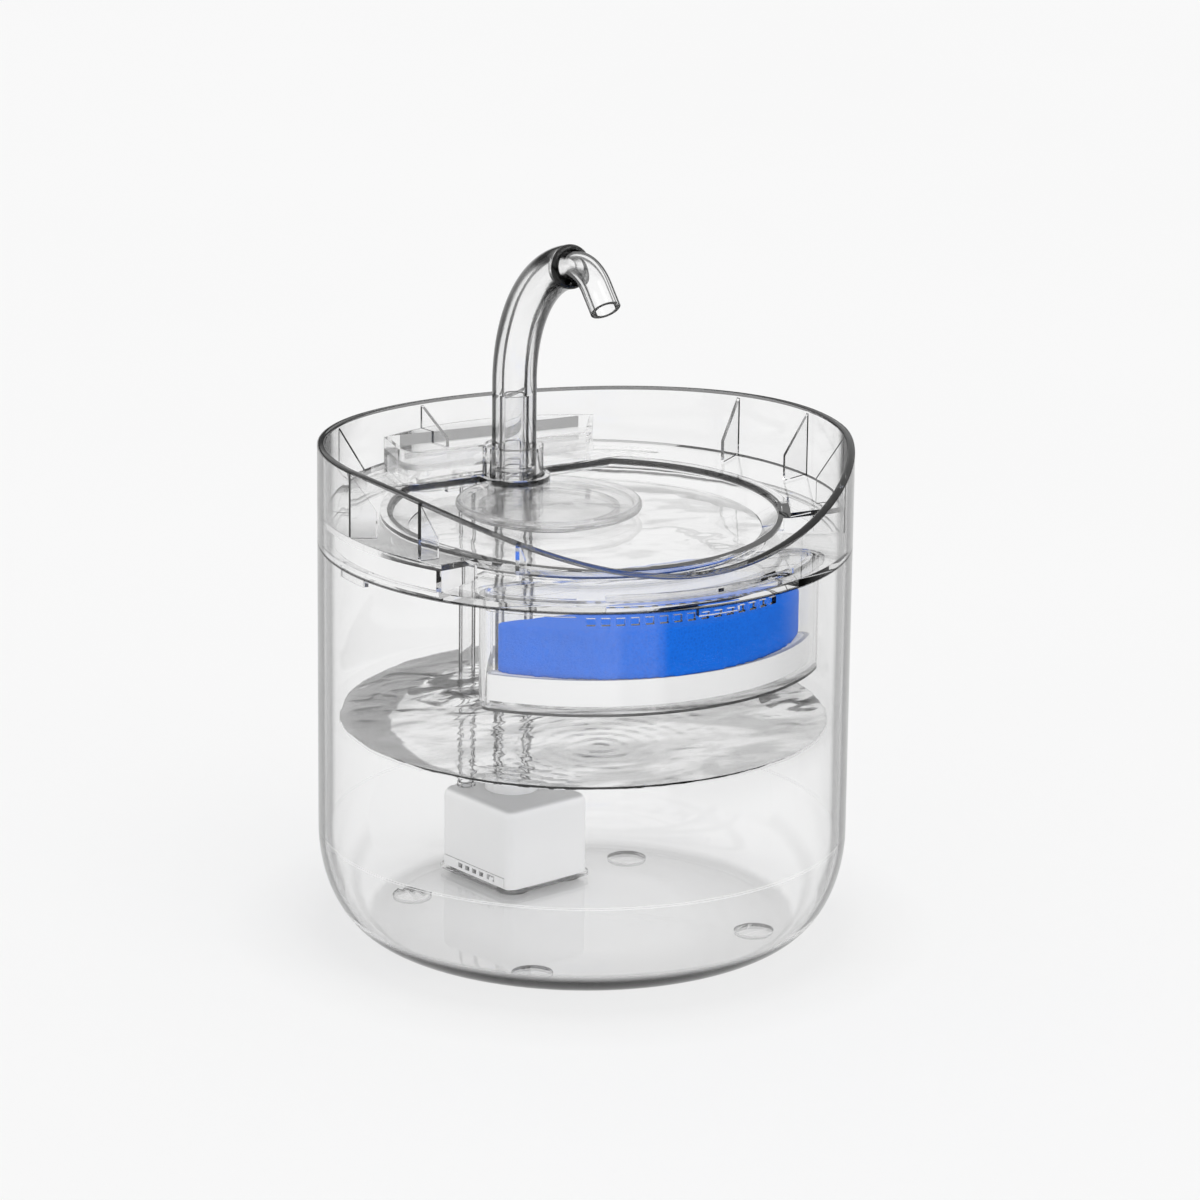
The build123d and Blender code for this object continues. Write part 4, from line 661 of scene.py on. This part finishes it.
NODE_FINISHES = {
    "tank": CLEAR_WALL,
    "tank_feet": CLEAR_FOOT,
    "lid_shell": CLEAR_LID,
    "riser_seal": CLEAR_SILICONE,
    "drinking_tray": CLEAR_TRAY,
    "splash_disc": CLEAR_DISC,
    "faucet_tube": CLEAR_TUBE,
    "faucet_nozzle": CLEAR_TUBE,
    "faucet_seal": CLEAR_SILICONE,
    "filter_box": CLEAR_BOX,
    "cartridge_frame": WHITE_FRAME,
    "cotton_pad_lower": COTTON,
    "carbon_layer": CARBON,
    "cotton_pad_upper": COTTON,
    "filter_sponge": FOAM,
    "riser_tube": CLEAR_TUBE,
    "outlet_collar": WHITE,
    "cable_gland": CLEAR_SILICONE,
    "cable_guide_tube": CLEAR_TUBE,
    "pump_housing": WHITE,
    "pump_base_plate": CLEAR_PLATE,
    "suction_cups": CLEAR_SILICONE,
    "intake_cover": WHITE,
    "flow_shutter": WHITE,
    "chamber_plate": WHITE,
    "chamber_seal": RUBBER,
    "volute_body": WHITE,
    "impeller": WHITE,
    "rotor_magnet": FERRITE,
    "impeller_shaft": STEEL,
    "shaft_bushes": RUBBER,
    "stator_core": LAMINATED,
    "stator_coil": COPPER,
    "driver_board": BOARD,
}

for node_name, finish in NODE_FINISHES.items():
    materials = NODES[node_name].data.materials
    materials.clear()
    materials.append(finish)


# ---------------------------------------------------------------- mesh helpers
def link_piece(name, mesh):
    piece = bpy.data.objects.new(name, mesh)
    bpy.context.scene.collection.objects.link(piece)
    return piece


def spun(name, profile, steps):
    """A closed mesh turned about Z from (radius, height) pairs that start and end on the axis."""
    bm = bmesh.new()
    rings = []
    angles = [2 * math.pi * i / steps for i in range(steps)]
    for radius, height in profile:
        if radius == 0:
            rings.append([bm.verts.new((0, 0, height))])
            continue
        rings.append([bm.verts.new((radius * math.cos(a), radius * math.sin(a), height)) for a in angles])
    for low, high in zip(rings, rings[1:]):
        for i in range(steps):
            j = (i + 1) % steps
            corners = [low[i % len(low)], low[j % len(low)], high[j % len(high)], high[i % len(high)]]
            corners = list(dict.fromkeys(corners))
            if len(corners) > 2:
                bm.faces.new(corners)
    bmesh.ops.recalc_face_normals(bm, faces=bm.faces)
    mesh = bpy.data.meshes.new(name)
    bm.to_mesh(mesh)
    bm.free()
    return mesh


def merged_copy(node, inset=0.0):
    """A copy of a CAD node's mesh with its loose triangles joined, drawn in by an inset."""
    bm = bmesh.new()
    bm.from_mesh(NODES[node].data)
    bmesh.ops.remove_doubles(bm, verts=bm.verts, dist=0.01 * MM)
    bmesh.ops.recalc_face_normals(bm, faces=bm.faces)
    bm.normal_update()
    for vertex in bm.verts:
        vertex.co -= vertex.normal * inset
    mesh = bpy.data.meshes.new(node + "_form")
    bm.to_mesh(mesh)
    bm.free()
    return mesh


# ---------------------------------------------------------------- geometry node helpers
def new_tree(name, sizes):
    """A Geometry Nodes tree with a geometry input, named inputs for its sizes, and a material."""
    tree = bpy.data.node_groups.new(name, "GeometryNodeTree")
    face = tree.interface
    face.new_socket("Geometry", in_out="INPUT", socket_type="NodeSocketGeometry")
    for label, kind in sizes.items():
        face.new_socket(label, in_out="INPUT", socket_type="NodeSocket" + kind)
    face.new_socket("Finish", in_out="INPUT", socket_type="NodeSocketMaterial")
    face.new_socket("Geometry", in_out="OUTPUT", socket_type="NodeSocketGeometry")
    return tree, add(tree, "NodeGroupInput").outputs


def close_tree(tree, start, geometry):
    """Ends a tree: its instances made real, and its finish set."""
    real = add(tree, "GeometryNodeRealizeInstances")
    tree.links.new(geometry, real.inputs["Geometry"])
    finish = add(tree, "GeometryNodeSetMaterial")
    tree.links.new(real.outputs["Geometry"], finish.inputs["Geometry"])
    tree.links.new(start["Finish"], finish.inputs["Material"])
    end = add(tree, "NodeGroupOutput")
    tree.links.new(finish.outputs["Geometry"], end.inputs["Geometry"])
    return tree


def grown(name, mesh, tree, values, smooth=True):
    """Runs a tree on a mesh and keeps the result as a plain mesh piece."""
    piece = link_piece(name, mesh)
    modifier = piece.modifiers.new(tree.name, "NODES")
    modifier.node_group = tree
    for socket in tree.interface.items_tree:
        if socket.in_out == "INPUT" and socket.name in values:
            modifier[socket.identifier] = values[socket.name]
    settled = piece.evaluated_get(bpy.context.evaluated_depsgraph_get())
    result = bpy.data.meshes.new_from_object(settled)
    piece.modifiers.remove(modifier)
    piece.data = result
    if smooth:
        result.shade_smooth()
    return piece


def moved(tree, geometry, offset):
    node = add(tree, "GeometryNodeSetPosition")
    tree.links.new(geometry, node.inputs["Geometry"])
    tree.links.new(offset, node.inputs["Offset"])
    return node.outputs["Geometry"]


def upwards(tree, height):
    node = add(tree, "ShaderNodeCombineXYZ")
    tree.links.new(height, node.inputs["Z"])
    return node.outputs["Vector"]


# ---------------------------------------------------------------- water
def ripple_tree():
    """Water that is rough in a few places, with rings where drops fall, and calm at its edge."""
    sizes = {
        "Calm Radius": "Float",
        "Swell Height": "Float",
        "Swell Scale": "Float",
        "Ring Centre": "Vector",
        "Ring Pitch": "Float",
        "Ring Height": "Float",
    }
    tree, start = new_tree("water_ripples", sizes)
    place = add(tree, "GeometryNodeInputPosition").outputs["Position"]
    flat = vector_node(tree, "MULTIPLY", place, (1, 1, 0))
    calm = math_node(tree, "SUBTRACT", start["Calm Radius"], vector_node(tree, "LENGTH", flat))
    calm = math_node(tree, "DIVIDE", calm, CALM_EDGE, clamp=True)
    roughness = CALM_ROUGHNESS
    for spot, reach, strength in ROUGH_WATER:
        near = math_node(tree, "DIVIDE", vector_node(tree, "DISTANCE", flat, spot), reach)
        fall = math_node(tree, "POWER", FALL, math_node(tree, "POWER", near, 2.0))
        roughness = math_node(tree, "MULTIPLY_ADD", fall, strength, roughness)
    stretched = vector_node(tree, "MULTIPLY", flat, (1.0, 1.9, 1.0))
    swell = noise(tree, stretched, start["Swell Scale"], 2.0, 0.45, 0.6)
    swell = math_node(tree, "MULTIPLY", math_node(tree, "SUBTRACT", swell, 0.5), start["Swell Height"])
    swell = math_node(tree, "MULTIPLY", swell, roughness)
    from_drop = vector_node(tree, "DISTANCE", flat, start["Ring Centre"])
    rings = math_node(tree, "DIVIDE", from_drop, start["Ring Pitch"])
    rings = math_node(tree, "SINE", math_node(tree, "MULTIPLY", rings, 2 * math.pi))
    fade = math_node(tree, "POWER", FALL, math_node(tree, "DIVIDE", from_drop, RING_FADE))
    rings = math_node(tree, "MULTIPLY", math_node(tree, "MULTIPLY", rings, fade), start["Ring Height"])
    height = math_node(tree, "MULTIPLY", math_node(tree, "ADD", swell, rings), calm)
    return close_tree(tree, start, moved(tree, start["Geometry"], upwards(tree, height)))


RIPPLES = ripple_tree()


def tank_water():
    """The water's surface in the tank, creeping up the wall at its edge."""
    flat_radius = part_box("tank")[1].x - WALL - WATER_EDGE
    top = [(flat_radius * i / WATER_RINGS, WATER_Z) for i in range(WATER_RINGS + 1)]
    climb = [step / MENISCUS_STEPS for step in range(1, MENISCUS_STEPS + 1)]
    rise = [(flat_radius + WATER_EDGE * share, WATER_Z + MENISCUS_RISE * share**2) for share in climb]
    thinning = 0.9 / MENISCUS_RISE
    under = [(r, z - WATER_SHEET * (1 - thinning * (z - WATER_Z))) for r, z in reversed(top + rise)]
    values = {
        "Calm Radius": flat_radius,
        "Swell Height": SWELL_HEIGHT,
        "Swell Scale": SWELL_SCALE,
        "Ring Centre": RING_CENTRE,
        "Ring Pitch": RING_PITCH,
        "Ring Height": RING_HEIGHT,
        "Finish": WATER,
    }
    water = grown("tank_water", spun("tank_water", top + rise + under, 288), RIPPLES, values)
    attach(water, "tank")


tank_water()


# ---------------------------------------------------------------- filter media
def pore_tree():
    """A soft block whose skin is pushed in and out by fine open cells."""
    tree, start = new_tree("open_cells", {"Cell Scale": "Float", "Cell Depth": "Float"})
    place = add(tree, "GeometryNodeInputPosition").outputs["Position"]
    cells = add(tree, "ShaderNodeTexVoronoi", feature="F1")
    tree.links.new(place, cells.inputs["Vector"])
    tree.links.new(start["Cell Scale"], cells.inputs["Scale"])
    depth = math_node(tree, "SUBTRACT", cells.outputs["Distance"], 1.0)
    depth = math_node(tree, "MULTIPLY", depth, start["Cell Depth"])
    normal = add(tree, "GeometryNodeInputNormal").outputs["Normal"]
    along = add(tree, "ShaderNodeCombineXYZ")
    for axis in "XYZ":
        tree.links.new(depth, along.inputs[axis])
    shifted = vector_node(tree, "MULTIPLY", normal, along.outputs["Vector"])
    return close_tree(tree, start, moved(tree, start["Geometry"], shifted))


def remeshed(mesh, voxel):
    """The same form in even faces, with its hard edges a little softened."""
    form = link_piece("form", mesh)
    even = form.modifiers.new("even", "REMESH")
    even.mode = "VOXEL"
    even.voxel_size = voxel
    settled = form.evaluated_get(bpy.context.evaluated_depsgraph_get())
    result = bpy.data.meshes.new_from_object(settled)
    bpy.data.objects.remove(form)
    return result


def soft_block(node, voxel, cell_scale, cell_depth, finish, length=1.0):
    """A foam or felt block in the place of its CAD solid, a little short of its full length."""
    values = {"Cell Scale": cell_scale, "Cell Depth": cell_depth, "Finish": finish}
    form = merged_copy(node)
    along = Vector((math.cos(DRAWER_TURN), math.sin(DRAWER_TURN), 0))
    for vertex in form.vertices:
        vertex.co += along * vertex.co.dot(along) * (length - 1)
    block = grown(node + "_soft", remeshed(form, voxel), OPEN_CELLS, values)
    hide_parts(node)
    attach(block, "filter_drawer")


def granule_tree():
    """A layer filled with small broken grains."""
    tree, start = new_tree("carbon_grains", {"Grain Radius": "Float", "Grains": "Float"})
    volume = add(tree, "GeometryNodeMeshToVolume")
    tree.links.new(start["Geometry"], volume.inputs["Mesh"])
    scatter = add(tree, "GeometryNodeDistributePointsInVolume")
    tree.links.new(volume.outputs["Volume"], scatter.inputs["Volume"])
    tree.links.new(start["Grains"], scatter.inputs["Density"])
    scatter.inputs["Seed"].default_value = GRAIN_SEED
    grain = add(tree, "GeometryNodeMeshIcoSphere")
    grain.inputs["Subdivisions"].default_value = 1
    tree.links.new(start["Grain Radius"], grain.inputs["Radius"])
    turn = add(tree, "FunctionNodeRandomValue", data_type="FLOAT_VECTOR")
    turn.inputs["Max"].default_value = (6.28, 6.28, 6.28)
    size = add(tree, "FunctionNodeRandomValue", data_type="FLOAT_VECTOR")
    size.inputs["Min"].default_value = (0.55, 0.45, 0.5)
    size.inputs["Max"].default_value = (1.0, 0.8, 0.9)
    place = add(tree, "GeometryNodeInstanceOnPoints")
    tree.links.new(scatter.outputs["Points"], place.inputs["Points"])
    tree.links.new(grain.outputs["Mesh"], place.inputs["Instance"])
    tree.links.new(turn.outputs["Value"], place.inputs["Rotation"])
    tree.links.new(size.outputs["Value"], place.inputs["Scale"])
    return close_tree(tree, start, place.outputs["Instances"])


def carbon_grains():
    """Loose activated carbon between the two cotton pads."""
    form = merged_copy("carbon_layer", GRANULE)
    values = {"Grain Radius": GRANULE, "Grains": GRAINS_PER_M3, "Finish": CARBON}
    grains = grown("carbon_grains", form, granule_tree(), values, smooth=False)
    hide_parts("carbon_layer")
    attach(grains, "filter_drawer")


def winding_tree():
    """Turns of round wire laid side by side round a former, which is kept inside them."""
    sizes = {
        "Depth": "Float",
        "Height": "Float",
        "Corner": "Float",
        "Wire Radius": "Float",
        "Turns": "Int",
        "First Turn": "Vector",
        "Pitch": "Vector",
        "Place": "Vector",
        "Angle": "Vector",
    }
    tree, start = new_tree("wire_turns", sizes)
    path = add(tree, "GeometryNodeCurvePrimitiveQuadrilateral")
    tree.links.new(start["Height"], path.inputs["Width"])
    tree.links.new(start["Depth"], path.inputs["Height"])
    corners = add(tree, "GeometryNodeFilletCurve", mode="POLY")
    tree.links.new(path.outputs["Curve"], corners.inputs["Curve"])
    corners.inputs["Count"].default_value = 4
    tree.links.new(start["Corner"], corners.inputs["Radius"])
    section = add(tree, "GeometryNodeCurvePrimitiveCircle")
    section.inputs["Resolution"].default_value = 10
    tree.links.new(start["Wire Radius"], section.inputs["Radius"])
    wire = add(tree, "GeometryNodeCurveToMesh")
    tree.links.new(corners.outputs["Curve"], wire.inputs["Curve"])
    tree.links.new(section.outputs["Curve"], wire.inputs["Profile Curve"])
    row = add(tree, "GeometryNodeMeshLine")
    tree.links.new(start["Turns"], row.inputs["Count"])
    tree.links.new(start["First Turn"], row.inputs["Start Location"])
    tree.links.new(start["Pitch"], row.inputs["Offset"])
    turns = add(tree, "GeometryNodeInstanceOnPoints")
    tree.links.new(row.outputs["Mesh"], turns.inputs["Points"])
    tree.links.new(wire.outputs["Mesh"], turns.inputs["Instance"])
    turns.inputs["Rotation"].default_value = (0, math.radians(90), 0)
    placed = add(tree, "GeometryNodeTransform")
    tree.links.new(turns.outputs["Instances"], placed.inputs["Geometry"])
    tree.links.new(start["Place"], placed.inputs["Translation"])
    tree.links.new(start["Angle"], placed.inputs["Rotation"])
    both = add(tree, "GeometryNodeJoinGeometry")
    tree.links.new(start["Geometry"], both.inputs["Geometry"])
    tree.links.new(placed.outputs["Geometry"], both.inputs["Geometry"])
    return close_tree(tree, start, both.outputs["Geometry"])


def copper_winding():
    """The stator's coil as turns of enamelled wire."""
    back = Matrix.Rotation(-PUMP_TURN, 3, "Z")
    points = [back @ (vertex.co - PUMP_PLACE) for vertex in NODES["stator_coil"].data.vertices]
    low = Vector([min(point[i] for point in points) for i in range(3)])
    high = Vector([max(point[i] for point in points) for i in range(3)])
    room = high - low
    turns = int((room.x - 0.2 * MM) / (2.04 * WIRE_RADIUS))
    pitch = (room.x - 2.2 * WIRE_RADIUS) / (turns - 1)
    middle = (low + high) / 2
    values = {
        "Depth": room.y - 2.1 * WIRE_RADIUS,
        "Height": room.z - 2.1 * WIRE_RADIUS,
        "Corner": WIRE_CORNER,
        "Wire Radius": WIRE_RADIUS,
        "Turns": turns,
        "First Turn": (low.x + 1.1 * WIRE_RADIUS, middle.y, middle.z),
        "Pitch": (pitch, 0, 0),
        "Place": PUMP_PLACE,
        "Angle": (0, 0, PUMP_TURN),
        "Finish": COPPER,
    }
    form = merged_copy("stator_coil", WIRE_RADIUS)
    coil = grown("copper_winding", form, winding_tree(), values)
    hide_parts("stator_coil")
    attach(coil, "tank")


OPEN_CELLS = pore_tree()
soft_block("filter_sponge", FOAM_VOXEL, FOAM_CELLS, FOAM_PORE, FOAM, SPONGE_LENGTH)
soft_block("cotton_pad_lower", PAD_VOXEL, PAD_CELLS, PAD_FLUFF, COTTON)
soft_block("cotton_pad_upper", PAD_VOXEL, PAD_CELLS, PAD_FLUFF, COTTON)
carbon_grains()
copper_winding()


# ---------------------------------------------------------------- studio
def painted_card_reflections(tree, vector):
    """Painted reflections: pale cards, with a dark one on the right in front, painted on the floor for
    mirrored rays only, so that the clear walls show them.
    """
    turned = add(tree, "ShaderNodeMapping")
    turned.inputs["Rotation"].default_value = (0, 0, math.radians(90 - VIEW_AZIMUTH))
    tree.links.new(vector, turned.inputs["Vector"])
    sweep = add(tree, "ShaderNodeTexGradient", gradient_type="RADIAL")
    tree.links.new(turned.outputs["Vector"], sweep.inputs["Vector"])
    stops = [(0.5 + angle / 360, grey) for angle, grey in PAINTED_CARD_ANGLES]
    far = soft_step(tree, vector_node(tree, "LENGTH", vector), PAINTED_CARD_REACH, PAINTED_CARD_BLEND)
    return chosen(tree, far, PAINTED_CARD_PALE, ramp(tree, sweep.outputs["Fac"], stops))


def backdrop_finish():
    """A matt pale floor with a painted shadow under and beside the tank; for mirrored rays it shows painted
    reflections of studio cards.
    """
    material, tree, shader = new_finish("pale_floor")
    vector = object_coords(tree)
    tone = ramp(tree, noise(tree, vector, 3.0), [(0.3, BACKDROP_GREY - 0.004), (0.7, BACKDROP_GREY + 0.004)])
    # painted shadow: the floor's colour is darker under and beside the tank
    share = math_node(tree, "DIVIDE", vector_node(tree, "LENGTH", vector), PAINTED_SHADOW_REACH)
    tone = multiply(tree, tone, ramp(tree, share, FLOOR_PAINTED_SHADOW))
    path = add(tree, "ShaderNodeLightPath").outputs
    mirrored = math_node(tree, "SUBTRACT", path["Glossy Depth"], path["Is Diffuse Ray"], clamp=True)
    # painted reflections: mirrored rays see the cards painted on the floor instead of its plain colour
    tree.links.new(chosen(tree, mirrored, tone, painted_card_reflections(tree, vector)), shader.inputs["Base Color"])
    shader.inputs["Roughness"].default_value = 0.9
    shader.inputs["Specular IOR Level"].default_value = 0.0
    return material


def make_floor():
    bm = bmesh.new()
    bmesh.ops.create_circle(bm, cap_ends=True, segments=128, radius=FLOOR_RADIUS)
    mesh = bpy.data.meshes.new("floor")
    bm.to_mesh(mesh)
    bm.free()
    mesh.materials.append(backdrop_finish())
    link_piece("floor", mesh)


def make_world():
    """A white tent of light: bright overhead, with a darker band low down that clear edges pick up."""
    world = bpy.data.worlds.new("studio")
    bpy.context.scene.world = world
    world.use_nodes = True
    tree = world.node_tree
    background = tree.nodes["Background"]
    direction = add(tree, "ShaderNodeTexCoord").outputs["Generated"]
    tent = ramp(tree, parts_of(tree, direction)["Z"], TENT)
    path = add(tree, "ShaderNodeLightPath").outputs
    around = chosen(tree, path["Glossy Depth"], WORLD_LEVEL, tent)
    tree.links.new(chosen(tree, path["Is Camera Ray"], around, BACKDROP_GREY), background.inputs["Color"])
    background.inputs["Strength"].default_value = 1.0


def key_light():
    """A broad, soft light from above on the left, equal all over the floor."""
    light = bpy.data.lights.new("key_light", "SUN")
    light.energy = KEY_STRENGTH
    light.angle = math.radians(KEY_SPREAD)
    lamp = bpy.data.objects.new("key_light", light)
    lamp.rotation_mode = "QUATERNION"
    lamp.rotation_quaternion = Vector(KEY_FROM).to_track_quat("Z", "Y")
    bpy.context.scene.collection.objects.link(lamp)


def make_camera():
    elevation = math.radians(VIEW_ELEVATION)
    back = Vector(TOWARD_VIEW) * math.cos(elevation) + Vector((0, 0, math.sin(elevation)))
    data = bpy.data.cameras.new("camera")
    data.lens = LENS
    data.sensor_width = SENSOR
    data.clip_start, data.clip_end = 0.05, 60.0
    camera = bpy.data.objects.new("camera", data)
    camera.location = AIM + VIEW_DISTANCE * back
    camera.rotation_mode = "QUATERNION"
    turn = Matrix.Rotation(math.radians(VIEW_ROLL), 3, "Z")
    camera.rotation_quaternion = ((-back).to_track_quat("-Z", "Y").to_matrix() @ turn).to_quaternion()
    bpy.context.scene.collection.objects.link(camera)
    bpy.context.scene.camera = camera


def set_light_paths():
    """Clear walls lie one behind another, so light passes many surfaces."""
    cycles = bpy.context.scene.cycles
    cycles.max_bounces = LIGHT_BOUNCES
    cycles.transmission_bounces = LIGHT_BOUNCES
    cycles.transparent_max_bounces = LIGHT_BOUNCES


make_floor()
make_world()
key_light()
make_camera()
set_light_paths()
bpy.context.scene.view_settings.view_transform = "Standard"
